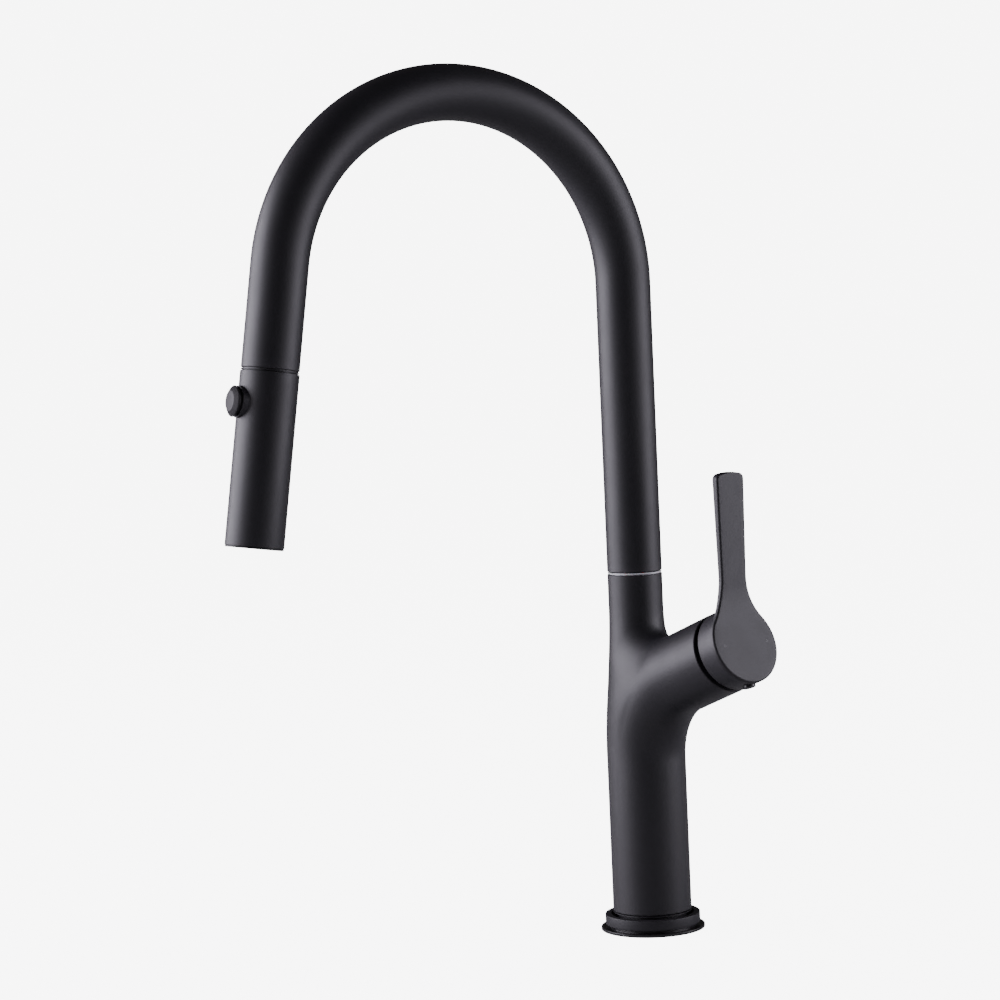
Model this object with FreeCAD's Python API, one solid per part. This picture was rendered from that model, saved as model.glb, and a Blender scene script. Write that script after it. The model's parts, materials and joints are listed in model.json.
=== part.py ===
"""Pull-down kitchen faucet: a high-arc spout with a docking spray head, and a side branch that carries
a single blade lever.

Units are millimetres. The origin is the centre of the base on the deck plane, +Z points up, and the
lever's branch points towards +X. The spout swivels about a vertical axis that stands a little off the
column's own axis, away from the branch.
"""

import FreeCAD
import Part

import math
import os

V = FreeCAD.Vector
UP = V(0, 0, 1)

# ---- driving dimensions: spout -------------------------------------------------------------------
TUBE_R = 14.0
TUBE_BORE_R = 12.8
ARCH_R = 95.6
ARCH_SPRING_Z = 330.65
LEG_TILT = 8.55
LEG_END = 50.9
SPOUT_BOTTOM_Z = 183.85
SPOUT_AZIMUTH = 261.5
SWIVEL_X = -3.4
EDGE_BREAK = 0.25

# ---- driving dimensions: body and base -----------------------------------------------------------
COLUMN_R = 20.1
COLUMN_BORE_R = 16.8
COLUMN_BOTTOM_Z = 2.2
BEND_START_Z = 87.8
BODY_TOP_Z = 182.4
SLIP_RING_R = 13.8
SLIP_RING_Z = 182.9
SLIP_RING_T = 0.45
NECK_BORE_R = 12.0
SLIP_RING_BORE_R = 12.05
SLEEVE_R = 11.93
SLEEVE_BORE_R = 8.4
SLEEVE_BOTTOM_Z = 146.0
SLEEVE_TOP_Z = 206.0
NECK_BASE_Z = 166.0
CROTCH_FILLET_R = 12.0
CLIP_Z = 150.8
SEAL_HEIGHTS = (160.0, 172.0)
GASKET_R = 26.6
GASKET_BORE_R = 17.0
GASKET_PLATE_Z = 0.9
GASKET_LIP_R = 25.2
GASKET_LIP_Z = 1.5
GASKET_RIB_R = 21.8
RING_R = 24.3
RING_BORE_R = 20.35
RING_TOP_Z = 8.1
RING_RECESS_R = 21.1
RING_RECESS_Z = 6.6
INSERT_R = 16.75
INSERT_BOTTOM_Z = 3.0
INSERT_TOP_Z = 20.0
STUD_X = -8.0
STUD_SPACING = 21.0
STUD_HOLE_R = 2.5

# ---- driving dimensions: supply tubes and hose ---------------------------------------------------
SUPPLY_R = 4.0
SUPPLY_BORE_R = 3.0
SUPPLY_BOTTOM_Z = 1.0
INLET_OFFSET_X = 3.5
INLET_OFFSET_Y = 11.5
OUTLET_OFFSET_X = 11.8
HOSE_R = 6.2
HOSE_BORE_R = 4.0
HOSE_BOTTOM_Z = 8.0
HOSE_PASSAGE_R = 7.5

# ---- driving dimensions: branch and cartridge, as distances along the branch axis -----------------
BRANCH_RISE = 20.64
BRANCH_CROSS_Z = 120.35
BRANCH_END = 72.1
BRANCH_BORE_R = 17.0
HOLDER_START = 38.0
HOLDER_END = 71.0
HOLDER_R = 16.9
HOLDER_BORE_R = 14.1
HOLDER_FLOOR = 42.5
SOCKET_DEPTH = 3.5
PORT_RADIUS = 9.0
PORT_R = 2.2
PORT_SEAL_R = 3.0
PORT_SEAL_T = 0.6
CARTRIDGE_R = 14.0
CARTRIDGE_START = 42.55
CARTRIDGE_END = 66.0
DISC_START = 45.0
DISC_FACE = 47.2
FIXED_DISC_R = 11.5
MOVING_DISC_R = 8.5
MOVING_DISC_END = 49.0
ROTOR_R = 10.8
ROTOR_NECK_R = 8.9
ROTOR_START = 52.6
ROTOR_SHOULDER = 60.9
PIN_R = 1.25
PIN_HALF = 10.5
NUT_R = 14.5
NUT_BORE_R = 11.0
PIVOT = 56.0
DISC_DRIVE = 4.2
STEM_HALF = 3.5

# ---- driving dimensions: lever -------------------------------------------------------------------
HUB_R = 20.0
HUB_REAR = 75.1
HUB_SOLID = 79.2
HUB_FRONT = 87.7
HUB_SKIRT_R = 18.3
HUB_BEVEL = 0.8
BLADE_ROOT_U = 9.0
BLADE_HINGE_U = 18.0
BLADE_HEIGHT = 66.8
BLADE_HALF_ROOT = 8.15
BLADE_HALF_TIP = 8.9
BLADE_FLARE_R = 34.0
BLADE_ROOT_T = 2.9
BLADE_TIP_T = 4.1
BLADE_CORNER_R = 3.0
SET_SCREW_AT = 81.4
PLUG_R = 3.2
PLUG_PROUD = 0.5
MARK_OFFSET = 13.7

# ---- driving dimensions: spray head, as distances below its top face ------------------------------
COLLAR_FLANGE_R = 13.9
COLLAR_FLANGE_AT = 51.4
COLLAR_FLANGE_T = 0.5
HEAD_START = 52.4
DOCK_BORE_R = 10.4
MAGNET_R = 11.95
MAGNET_START = 43.7
MAGNET_END = 49.5
HEAD_R = 14.2
HEAD_BORE_R = 12.6
HEAD_LENGTH = 82.8
BEZEL_PROUD = 1.0
BUTTON_AT = 15.3
BUTTON_R = 7.5
BUTTON_FLAT_R = 4.9
BUTTON_FACE = 19.4
BUTTON_RIM = 17.2
BUTTON_BACK = 13.0
BUTTON_NECK_R = 6.7
BUTTON_COLLAR_R = 7.65
BUTTON_COLLAR_END = 15.7
SPOOL_R = 3.4
CORE_R = 12.4
CORE_END = 60.6
CHAMBER_END = 74.6
AERATOR_START = 68.7
AERATOR_R = 7.2
CHANNEL_R = 1.6
CHANNEL_ANGLES = (110, 180, 250)
SPRAY_JETS = 20
JET_R = 0.65


# ---- small helpers ---------------------------------------------------------------------------------
def rod(radius, start, end):
    """A solid cylinder on the Z axis between two heights."""
    return Part.makeCylinder(radius, end - start, V(0, 0, start))


def tube(outer, inner, start, end):
    """A cylinder with a through bore, on the Z axis."""
    return rod(outer, start, end).cut(rod(inner, start - 1, end + 1))


def turned(points):
    """A solid of revolution about Z from (radius, height) points."""
    corners = [V(r, 0, z) for r, z in points]
    face = Part.Face(Part.makePolygon(corners + [corners[0]]))
    return face.revolve(V(0, 0, 0), UP, 360)


def o_ring(ring_r, section_r, height):
    """A toroidal seal on the Z axis."""
    ring = Part.makeTorus(ring_r, section_r)
    ring.translate(V(0, 0, height))
    return ring


def cross_rod(radius, start, end, height):
    """A cylinder along X at the given height."""
    return Part.makeCylinder(radius, end - start, V(start, 0, height), V(1, 0, 0))


def moved(shape, x, y, z):
    """A copy of a shape, shifted."""
    copy = shape.copy()
    copy.translate(V(x, y, z))
    return copy


def around(shape, count, radius, phase=0.0):
    """Copies of a shape spread on a circle about Z."""
    copies = []
    for index in range(count):
        angle = phase + 2 * math.pi * index / count
        copies.append(moved(shape, radius * math.cos(angle), radius * math.sin(angle), 0))
    return copies


def fused(shapes):
    """Overlapping solids joined into one, with no seams left on shared faces."""
    return shapes[0].multiFuse(shapes[1:]).removeSplitter()


def edge_break(radius, height, side):
    """The ring of material that breaks the outer edge of a round end; side points into the solid."""
    return turned([
        (radius - EDGE_BREAK, height), (radius + 1, height), (radius + 1, height + side * 2 * EDGE_BREAK),
        (radius, height + side * EDGE_BREAK),
    ])


def to_branch(shape):
    """Branch frame (Z along the branch, X downwards) to the faucet's frame."""
    shape.rotate(V(0, 0, 0), V(0, 1, 0), 90 - BRANCH_RISE)
    shape.translate(V(SWIVEL_X, 0, BRANCH_CROSS_Z))
    return shape


def to_swivel(shape):
    """Spout frame (X outwards in the plane of the arch) to the faucet's frame."""
    shape.rotate(V(0, 0, 0), UP, SPOUT_AZIMUTH)
    shape.translate(V(SWIVEL_X, 0, 0))
    return shape


def leg_start():
    """Where the arch runs out into the straight leg, in the spout frame."""
    tilt = math.radians(LEG_TILT)
    return V(ARCH_R * (1 + math.cos(tilt)), 0, ARCH_SPRING_Z + ARCH_R * math.sin(tilt))


def to_leg(shape, along=0.0):
    """Leg frame (Z down the leg from a distance along it, -X to the front) to the faucet's frame."""
    shape.translate(V(0, 0, along))
    shape.rotate(V(0, 0, 0), V(0, 1, 0), 180 - LEG_TILT)
    shape.translate(leg_start())
    return to_swivel(shape)


def to_head(shape):
    return to_leg(shape, HEAD_START)


# ---- base ------------------------------------------------------------------------------------------
def deck_gasket():
    """Thin dished washer: a rib holds the column and ring up, and a low lip runs round the outside."""
    edge = 0.35
    return turned([
        (GASKET_BORE_R, 0), (GASKET_R - edge, 0), (GASKET_R, edge), (GASKET_R, GASKET_LIP_Z - edge),
        (GASKET_R - edge, GASKET_LIP_Z), (GASKET_LIP_R + edge, GASKET_LIP_Z), (GASKET_LIP_R, GASKET_PLATE_Z),
        (GASKET_RIB_R, GASKET_PLATE_Z), (GASKET_RIB_R, COLUMN_BOTTOM_Z), (GASKET_BORE_R, COLUMN_BOTTOM_Z),
    ])


def base_ring():
    edge = 0.6
    return turned([
        (RING_BORE_R, COLUMN_BOTTOM_Z), (RING_R - edge, COLUMN_BOTTOM_Z), (RING_R, COLUMN_BOTTOM_Z + edge),
        (RING_R, RING_TOP_Z - edge), (RING_R - edge, RING_TOP_Z), (RING_RECESS_R, RING_TOP_Z),
        (RING_RECESS_R, RING_RECESS_Z), (RING_BORE_R, RING_RECESS_Z),
    ])


def base_insert():
    """Brass plug in the foot of the column, with the passages and the two stud threads."""
    plug = rod(INSERT_R, INSERT_BOTTOM_Z, INSERT_TOP_Z)
    passages = [moved(rod(HOSE_PASSAGE_R, 0, 30), SWIVEL_X, 0, 0)]
    for x, y in supply_offsets():
        passages.append(moved(rod(SUPPLY_R + 0.1, 0, 30), x, y, 0))
    for side in (-1, 1):
        passages.append(moved(rod(STUD_HOLE_R, 0, 30), STUD_X, side * STUD_SPACING / 2, 0))
    return plug.cut(Part.makeCompound(passages))


# ---- body ------------------------------------------------------------------------------------------
def bend_angle():
    return 90 - BRANCH_RISE


def bend_radius():
    """Centreline radius of the bend that carries the vertical column into the branch."""
    rise = math.radians(BRANCH_RISE)
    reach = (BRANCH_CROSS_Z - BEND_START_Z) - SWIVEL_X * math.tan(rise)
    return reach / (1 / math.cos(rise) - math.tan(rise))


def trunk(radius, offset_x, offset_y, bottom, branch_end):
    """A round bar up the column, round the bend and out along the branch, offset from the centreline."""
    turn = bend_radius() - offset_x
    angle = math.radians(bend_angle())
    centre = V(bend_radius(), offset_y, BEND_START_Z)
    riser = Part.makeCylinder(radius, BEND_START_Z - bottom, V(offset_x, offset_y, bottom))
    disc = Part.Face(Part.Wire(Part.makeCircle(radius, V(offset_x, offset_y, BEND_START_Z), UP)))
    bend = disc.revolve(centre, V(0, 1, 0), bend_angle())
    start = centre + V(-turn * math.cos(angle), 0, turn * math.sin(angle))
    direction = V(math.sin(angle), 0, math.cos(angle))
    travelled = (start - V(SWIVEL_X, offset_y, BRANCH_CROSS_Z)).dot(direction)
    run = Part.makeCylinder(radius, branch_end - travelled, start, direction)
    return fused([riser, bend, run])


def neck(radius, shoulder):
    """The swelling between the round column and the slimmer neck that carries the spout."""
    span = NECK_BASE_Z - BEND_START_Z
    rings = []
    for height, share in ((0.0, 0.0), (0.1, 0.03), (0.5, 0.5), (0.9, 0.97), (1.0, 1.0)):
        centre = V(SWIVEL_X * share, 0, BEND_START_Z + span * height)
        size = shoulder + (radius - shoulder) * share
        rings.append(Part.Wire(Part.makeCircle(size, centre, UP)))
    swelling = Part.makeLoft(rings, True)
    top = Part.makeCylinder(radius, BODY_TOP_Z - NECK_BASE_Z, V(SWIVEL_X, 0, NECK_BASE_Z))
    return fused([swelling, top])


def crotch_edges(shape):
    """The seam where the neck runs into the top of the bend and the branch."""
    edges = []
    for edge in shape.Edges:
        box = edge.BoundBox
        between = box.ZMin > BEND_START_Z - 1 and box.ZMax < NECK_BASE_Z - 0.5
        if between and edge.Curve.TypeId == "Part::GeomBSplineCurve":
            edges.append(edge)
    return edges


def body_casting():
    outside = trunk(COLUMN_R, 0, 0, COLUMN_BOTTOM_Z, BRANCH_END).fuse(neck(TUBE_R, COLUMN_R))
    outside = outside.makeFillet(CROTCH_FILLET_R, crotch_edges(outside))
    rim = to_branch(turned([
        (COLUMN_R - HUB_BEVEL, BRANCH_END + 0.01), (COLUMN_R + 1, BRANCH_END + 0.01),
        (COLUMN_R + 1, BRANCH_END - HUB_BEVEL - 1), (COLUMN_R, BRANCH_END - HUB_BEVEL),
    ]))
    bores = [
        rim,
        moved(edge_break(TUBE_R, BODY_TOP_Z, -1), SWIVEL_X, 0, 0),
        trunk(COLUMN_BORE_R, 0, 0, COLUMN_BOTTOM_Z - 1, HOLDER_START + 1),
        to_branch(rod(BRANCH_BORE_R, HOLDER_START, BRANCH_END + 1)),
        moved(rod(NECK_BORE_R, BEND_START_Z, BODY_TOP_Z + 1), SWIVEL_X, 0, 0),
        moved(rod(NECK_BORE_R + 1, CLIP_Z - 0.8, CLIP_Z + 0.8), SWIVEL_X, 0, 0),
    ]
    for bore in bores:
        outside = outside.cut(bore)
    return outside


def supply_offsets():
    return [
        (INLET_OFFSET_X, INLET_OFFSET_Y),
        (INLET_OFFSET_X, -INLET_OFFSET_Y),
        (OUTLET_OFFSET_X, 0.0),
    ]


def supply_tube(index):
    """One water tube, from the foot of the column to its socket in the cartridge holder."""
    x, y = supply_offsets()[index]
    end = HOLDER_START + SOCKET_DEPTH - 0.1
    outer = trunk(SUPPLY_R, x, y, SUPPLY_BOTTOM_Z, end)
    inner = trunk(SUPPLY_BORE_R, x, y, SUPPLY_BOTTOM_Z - 1, end + 1)
    return outer.cut(inner)


# ---- cartridge and its holder ----------------------------------------------------------------------
def port_holes(radius, start, end):
    """Three port holes, each on the line from the branch axis to its supply tube."""
    holes = []
    for x, y in supply_offsets():
        angle = math.atan2(y, x)
        place = V(PORT_RADIUS * math.cos(angle), PORT_RADIUS * math.sin(angle), 0)
        holes.append(moved(rod(radius, start, end), place.x, place.y, 0))
    return Part.makeCompound(holes)


def cartridge_holder():
    shell = rod(HOLDER_R, HOLDER_START, HOLDER_END)
    shell = shell.cut(rod(HOLDER_BORE_R, HOLDER_FLOOR, HOLDER_END + 1))
    shell = shell.cut(rod(HOLDER_BORE_R + 0.5, CARTRIDGE_END, HOLDER_END + 1))
    sockets = []
    for x, y in supply_offsets():
        sockets.append(moved(rod(SUPPLY_R + 0.05, HOLDER_START - 1, HOLDER_START + SOCKET_DEPTH), x, y, 0))
    shell = shell.cut(Part.makeCompound(sockets))
    return to_branch(shell.cut(port_holes(PORT_R, HOLDER_START - 1, HOLDER_START + 5)))


def port_seals():
    rings = []
    for x, y in supply_offsets():
        angle = math.atan2(y, x)
        ring = o_ring(PORT_SEAL_R, PORT_SEAL_T, CARTRIDGE_START + PORT_SEAL_T)
        rings.append(moved(ring, PORT_RADIUS * math.cos(angle), PORT_RADIUS * math.sin(angle), 0))
    return to_branch(Part.makeCompound(rings))


def cartridge_base():
    plate = rod(CARTRIDGE_R, CARTRIDGE_START, DISC_START)
    plate = plate.cut(port_holes(PORT_R, HOLDER_START, DISC_START + 1))
    groove = port_holes(3.7, HOLDER_START, 43.8).cut(port_holes(2.35, HOLDER_START - 1, 44.0))
    return to_branch(plate.cut(groove))


def fixed_disc():
    disc = rod(FIXED_DISC_R, DISC_START, DISC_FACE)
    return to_branch(disc.cut(port_holes(PORT_R, DISC_START - 1, DISC_FACE + 1)))


def moving_disc():
    """Its shallow pocket joins the ports to each other as it slides and turns on the fixed disc."""
    disc = rod(MOVING_DISC_R, DISC_FACE + 0.05, MOVING_DISC_END)
    pocket = rod(5.0, DISC_FACE, DISC_FACE + 1.0)
    return to_branch(disc.cut(moved(pocket, 2.0, 0, 0)))


def disc_carrier():
    carrier = rod(MOVING_DISC_R, MOVING_DISC_END + 0.02, 52.0)
    return to_branch(carrier.cut(rod(2.3, 49.3, 53.0)))


def cartridge_housing():
    shell = rod(CARTRIDGE_R, DISC_START + 0.02, CARTRIDGE_END)
    shell = shell.cut(rod(FIXED_DISC_R + 0.1, DISC_START, DISC_FACE + 0.1))
    shell = shell.cut(rod(ROTOR_R + 0.1, DISC_FACE, ROTOR_SHOULDER + 0.1))
    return to_branch(shell.cut(rod(ROTOR_NECK_R + 0.1, ROTOR_SHOULDER, CARTRIDGE_END + 1)))


def pin_bar(radius, half):
    """A cylinder along the axis that the lever tilts about."""
    return Part.makeCylinder(radius, 2 * half, V(0, -half, PIVOT), V(0, 1, 0))


def stem_slot(start, end):
    return Part.makeBox(13.2, 8.6, end - start, V(-6.6, -4.3, start))


def stem_carrier():
    """The rotor: it turns inside the housing and holds the pivot pin across itself."""
    rotor = fused([rod(ROTOR_R, ROTOR_START, ROTOR_SHOULDER), rod(ROTOR_NECK_R, ROTOR_SHOULDER, 65.0)])
    rotor = rotor.cut(stem_slot(ROTOR_START - 1, CARTRIDGE_END))
    return to_branch(rotor.cut(pin_bar(PIN_R + 0.05, PIN_HALF + 1)))


def pivot_pin():
    return to_branch(pin_bar(PIN_R, PIN_HALF))


def cartridge_stem():
    barrel = rod(4.1, 53.0, 60.0)
    square = Part.makeBox(2 * STEM_HALF, 2 * STEM_HALF, 25.5, V(-STEM_HALF, -STEM_HALF, 60.0))
    tail = rod(1.7, PIVOT - DISC_DRIVE, 53.0)
    ball = Part.makeSphere(2.2, V(0, 0, PIVOT - DISC_DRIVE))
    stem = barrel.fuse(square).fuse(tail).fuse(ball)
    return to_branch(stem.cut(pin_bar(PIN_R + 0.05, 6.0)))


def cartridge_nut():
    nut = tube(NUT_R, NUT_BORE_R, CARTRIDGE_END + 0.05, HOLDER_END + 1)
    notch = Part.makeBox(30, 2.4, 1.6, V(-15, -1.2, 70.6))
    return to_branch(nut.cut(notch))


def dome_cap():
    """Trim cap over the nut, seen through the gap behind the lever's hub."""
    return to_branch(turned([
        (15.2, 71.05), (16.9, 71.05), (16.9, 72.2), (17.3, 72.2), (17.3, 74.2), (16.9, 74.7), (13.4, 75.7),
        (13.0, 75.5), (13.0, 74.6), (15.2, 74.0),
    ]))


# ---- swivel ----------------------------------------------------------------------------------------
def slip_ring():
    """White split washer that shows as a fine line between the body and the spout."""
    ring = turned([
        (SLIP_RING_BORE_R, BODY_TOP_Z + 0.01), (13.0, BODY_TOP_Z + 0.01), (13.0, SLIP_RING_Z),
        (SLIP_RING_R, SLIP_RING_Z), (SLIP_RING_R, SLIP_RING_Z + SLIP_RING_T),
        (SLIP_RING_BORE_R, SLIP_RING_Z + SLIP_RING_T),
    ])
    split = Part.makeBox(6, 0.7, 2, V(10, -0.35, BODY_TOP_Z - 0.5))
    split.rotate(V(0, 0, 0), UP, -96)
    return moved(ring.cut(split), SWIVEL_X, 0, 0)


def swivel_insert():
    """Spigot in the foot of the spout: it turns in the neck, with two seals and a retaining clip."""
    shoulder = SLIP_RING_Z + SLIP_RING_T + 0.08
    lower = rod(SLEEVE_R, SLEEVE_BOTTOM_Z, shoulder)
    upper = rod(TUBE_BORE_R - 0.03, shoulder, SLEEVE_TOP_Z)
    sleeve = fused([lower, upper])
    sleeve = sleeve.cut(rod(SLEEVE_BORE_R, SLEEVE_BOTTOM_Z - 1, SLEEVE_TOP_Z + 1))
    sleeve = sleeve.cut(tube(13.0, 10.7, CLIP_Z - 1.3, CLIP_Z + 1.3))
    for height in SEAL_HEIGHTS:
        sleeve = sleeve.cut(tube(13.0, 10.0, height - 1.15, height + 1.15))
    return moved(sleeve, SWIVEL_X, 0, 0)


def swivel_orings():
    rings = [o_ring(11.0, 0.95, height) for height in SEAL_HEIGHTS]
    return moved(Part.makeCompound(rings), SWIVEL_X, 0, 0)


def swivel_clip():
    ring = tube(12.95, 10.95, CLIP_Z - 0.75, CLIP_Z + 0.75)
    gap = Part.makeBox(6, 6, 4, V(9, -3, 149))
    return moved(ring.cut(gap), SWIVEL_X, 0, 0)


# ---- spout -----------------------------------------------------------------------------------------
def spout_bar(radius, bottom, leg_length):
    """A round bar up the riser, over the arch and down the leg, in the spout frame."""
    riser = rod(radius, bottom, ARCH_SPRING_Z)
    disc = Part.Face(Part.Wire(Part.makeCircle(radius, V(0, 0, ARCH_SPRING_Z), UP)))
    arch = disc.revolve(V(ARCH_R, 0, ARCH_SPRING_Z), V(0, 1, 0), 180 - LEG_TILT)
    tilt = math.radians(LEG_TILT)
    leg = Part.makeCylinder(radius, leg_length, leg_start(), V(math.sin(tilt), 0, -math.cos(tilt)))
    return fused([riser, arch, leg])


def spout_tube():
    pipe = spout_bar(TUBE_R, SPOUT_BOTTOM_Z, LEG_END)
    pipe = pipe.cut(spout_bar(TUBE_BORE_R, SPOUT_BOTTOM_Z - 1, LEG_END + 1))
    pipe = to_swivel(pipe.cut(edge_break(TUBE_R, SPOUT_BOTTOM_Z, 1)))
    return pipe.cut(to_leg(edge_break(TUBE_R, LEG_END, -1)))


def docking_collar():
    """Lines the end of the leg and receives the spray head's neck."""
    flange = rod(COLLAR_FLANGE_R, COLLAR_FLANGE_AT, COLLAR_FLANGE_AT + COLLAR_FLANGE_T)
    sleeve = fused([rod(TUBE_BORE_R - 0.05, HEAD_START - 22.8, HEAD_START - 0.12), flange])
    sleeve = sleeve.cut(rod(DOCK_BORE_R, HEAD_START - 30, HEAD_START + 10))
    return to_leg(sleeve.cut(rod(MAGNET_R + 0.05, MAGNET_START - 0.1, MAGNET_END + 0.1)))


def dock_magnet():
    return to_leg(tube(MAGNET_R, DOCK_BORE_R + 0.2, MAGNET_START, MAGNET_END))


def spray_hose():
    length = HEAD_START - 18.6
    hose = spout_bar(HOSE_R, HOSE_BOTTOM_Z, length)
    return to_swivel(hose.cut(spout_bar(HOSE_BORE_R, HOSE_BOTTOM_Z - 1, length + 1)))


def hose_end_fitting():
    """Quick-connect nipple at the hose's lower end, inside the foot of the column."""
    nipple = fused([rod(7.2, 1.0, 7.9), rod(3.8, 7.9, 24.0)])
    return moved(nipple.cut(rod(2.6, 0, 30)), SWIVEL_X, 0, 0)


# ---- spray head ------------------------------------------------------------------------------------
def head_shell():
    edge = 0.35
    shell = turned([
        (9.95, 0.0), (HEAD_R - edge, 0.0), (HEAD_R, edge), (HEAD_R, HEAD_LENGTH - edge),
        (HEAD_R - edge, HEAD_LENGTH), (HEAD_BORE_R, HEAD_LENGTH), (HEAD_BORE_R, 2.0), (9.95, 2.0),
    ])
    return to_head(shell.cut(cross_rod(BUTTON_COLLAR_R + 0.05, -20, -5, BUTTON_AT)))


def head_inlet():
    """Neck that docks in the spout, with a barb for the hose and a spigot into the valve core."""
    body = turned([
        (2.4, -31.0), (3.4, -31.0), (3.8, -18.5), (8.0, -18.5), (8.6, -17.9), (9.8, -10.0), (9.8, 2.1),
        (11.6, 2.1), (11.6, 4.3), (7.0, 4.3), (7.0, 10.5), (4.5, 10.5), (4.5, -14.0), (2.4, -15.0),
    ])
    return to_head(body.cut(tube(8.0, 5.9, 7.4, 9.4)))


def hose_ferrule():
    return to_head(tube(7.5, 6.3, -33.0, -18.6))


def inlet_oring():
    return to_head(o_ring(6.45, 0.5, 8.4))


def check_valve():
    cage = tube(4.4, 3.2, -12.0, -1.0)
    poppet = rod(2.6, -8.0, -5.0)
    bridge = Part.makeBox(7.6, 1.0, 1.2, V(-3.8, -0.5, -5.0))
    return to_head(fused([cage, poppet, bridge]))


def valve_core():
    """Waterway block behind the button: one channel feeds the stream, three feed the spray."""
    core = rod(CORE_R, 4.4, CORE_END)
    core = core.cut(rod(7.1, 4.0, 10.8))
    core = core.cut(rod(3.6, 10.0, BUTTON_AT))
    core = core.cut(cross_rod(8.0, -20, -9.4, BUTTON_AT))
    core = core.cut(cross_rod(SPOOL_R + 0.1, -10, 10, BUTTON_AT))
    core = core.cut(moved(rod(2.2, BUTTON_AT, CORE_END + 1), 4.5, 0, 0))
    for angle in CHANNEL_ANGLES:
        turn = math.radians(angle)
        channel = rod(CHANNEL_R, BUTTON_AT + 9.0, CORE_END + 1)
        core = core.cut(moved(channel, 8.0 * math.cos(turn), 8.0 * math.sin(turn), 0))
    gallery = cross_rod(CHANNEL_R, -8.0, -2.0, BUTTON_AT + 9.5)
    core = core.cut(gallery).cut(moved(rod(CHANNEL_R, BUTTON_AT, BUTTON_AT + 9.5), -2.5, 0, 0))
    return to_head(core)


def button_collar():
    ring = tube(BUTTON_COLLAR_R, BUTTON_NECK_R + 0.1, 9.6, BUTTON_COLLAR_END)
    ring.rotate(V(0, 0, 0), V(0, 1, 0), -90)
    ring.translate(V(0, 0, BUTTON_AT))
    return to_head(ring)


def button_cap():
    """Round push button with a wide bevel, hollow behind."""
    face = BUTTON_FACE
    cap = turned([
        (0, BUTTON_BACK), (4.0, BUTTON_BACK), (4.0, face - 3.0), (5.4, face - 3.0), (5.4, BUTTON_BACK),
        (BUTTON_NECK_R, BUTTON_BACK), (BUTTON_NECK_R, BUTTON_RIM), (BUTTON_R, BUTTON_RIM),
        (BUTTON_R, BUTTON_RIM + 0.7), (BUTTON_R - 0.5, BUTTON_RIM + 1.35), (BUTTON_FLAT_R, face), (0, face),
    ])
    cap.rotate(V(0, 0, 0), V(0, 1, 0), -90)
    cap.translate(V(0, 0, BUTTON_AT))
    return to_head(cap)


def diverter_spool():
    spool = turned([
        (0, -7.5), (SPOOL_R, -7.5), (SPOOL_R, -1.5), (2.0, -1.5), (2.0, 1.5), (SPOOL_R, 1.5),
        (SPOOL_R, 5.3), (2.35, 5.3), (2.35, 6.7), (SPOOL_R, 6.7), (SPOOL_R, BUTTON_BACK - 0.02),
        (0, BUTTON_BACK - 0.02),
    ])
    spool.rotate(V(0, 0, 0), V(0, 1, 0), -90)
    spool.translate(V(0, 0, BUTTON_AT))
    return to_head(spool)


def spool_seal():
    ring = o_ring(2.92, 0.53, 6.0)
    ring.rotate(V(0, 0, 0), V(0, 1, 0), -90)
    ring.translate(V(0, 0, BUTTON_AT))
    return to_head(ring)


def button_spring():
    """Short flat-wire compression spring between the valve core and the inside of the button's rim."""
    coil_r = 4.7
    half_w = 0.4
    half_t = 0.3
    helix = Part.makeHelix(1.5, 3.0, coil_r)
    section = Part.makePolygon([
        V(coil_r - half_w, 0, -half_t), V(coil_r + half_w, 0, -half_t), V(coil_r + half_w, 0, half_t),
        V(coil_r - half_w, 0, half_t), V(coil_r - half_w, 0, -half_t),
    ])
    spring = Part.Wire(helix).makePipeShell([section], True, True)
    spring.translate(V(0, 0, 9.8))
    spring.rotate(V(0, 0, 0), V(0, 1, 0), -90)
    spring.translate(V(0, 0, BUTTON_AT))
    return to_head(spring)


def spray_chamber():
    """Distributor cup: an annular chamber feeds the jets and a centre tube feeds the aerator."""
    top = CORE_END + 0.1
    cup = tube(CORE_R, 10.8, top, CHAMBER_END)
    lid = rod(CORE_R, top, top + 2.0)
    pipe = rod(7.3, top + 1.9, AERATOR_START - 0.1)
    cup = fused([cup, lid, pipe]).cut(rod(5.2, top - 1, AERATOR_START + 1))
    feeds = []
    for angle in CHANNEL_ANGLES:
        turn = math.radians(angle)
        feeds.append(moved(rod(CHANNEL_R, top - 1, top + 3), 8.9 * math.cos(turn), 8.9 * math.sin(turn), 0))
    return to_head(cup.cut(Part.makeCompound(feeds)))


def jet_places():
    return [(SPRAY_JETS, 10.4, 0.0), (SPRAY_JETS - 4, 8.6, math.pi / SPRAY_JETS)]


def spray_face():
    plate = tube(11.8, AERATOR_R + 0.1, CHAMBER_END + 0.1, HEAD_LENGTH + 0.2)
    hole = rod(JET_R, CHAMBER_END, HEAD_LENGTH + 1)
    for count, radius, phase in jet_places():
        plate = plate.cut(Part.makeCompound(around(hole, count, radius, phase)))
    return to_head(plate)


def spray_nozzles():
    bore = 0.25
    back = CHAMBER_END + 1.0
    shoulder = HEAD_LENGTH + 0.3
    tip = HEAD_LENGTH + 0.75
    nozzle = turned([
        (bore, back), (JET_R - 0.02, back), (JET_R - 0.02, shoulder), (JET_R - 0.2, tip), (bore, tip),
    ])
    tips = []
    for count, radius, phase in jet_places():
        tips += around(nozzle, count, radius, phase)
    return to_head(Part.makeCompound(tips))


def aerator_housing():
    housing = tube(AERATOR_R, 5.7, AERATOR_START, HEAD_LENGTH + 0.4)
    return to_head(housing.cut(rod(6.3, HEAD_LENGTH - 1.6, HEAD_LENGTH + 1)))


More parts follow.
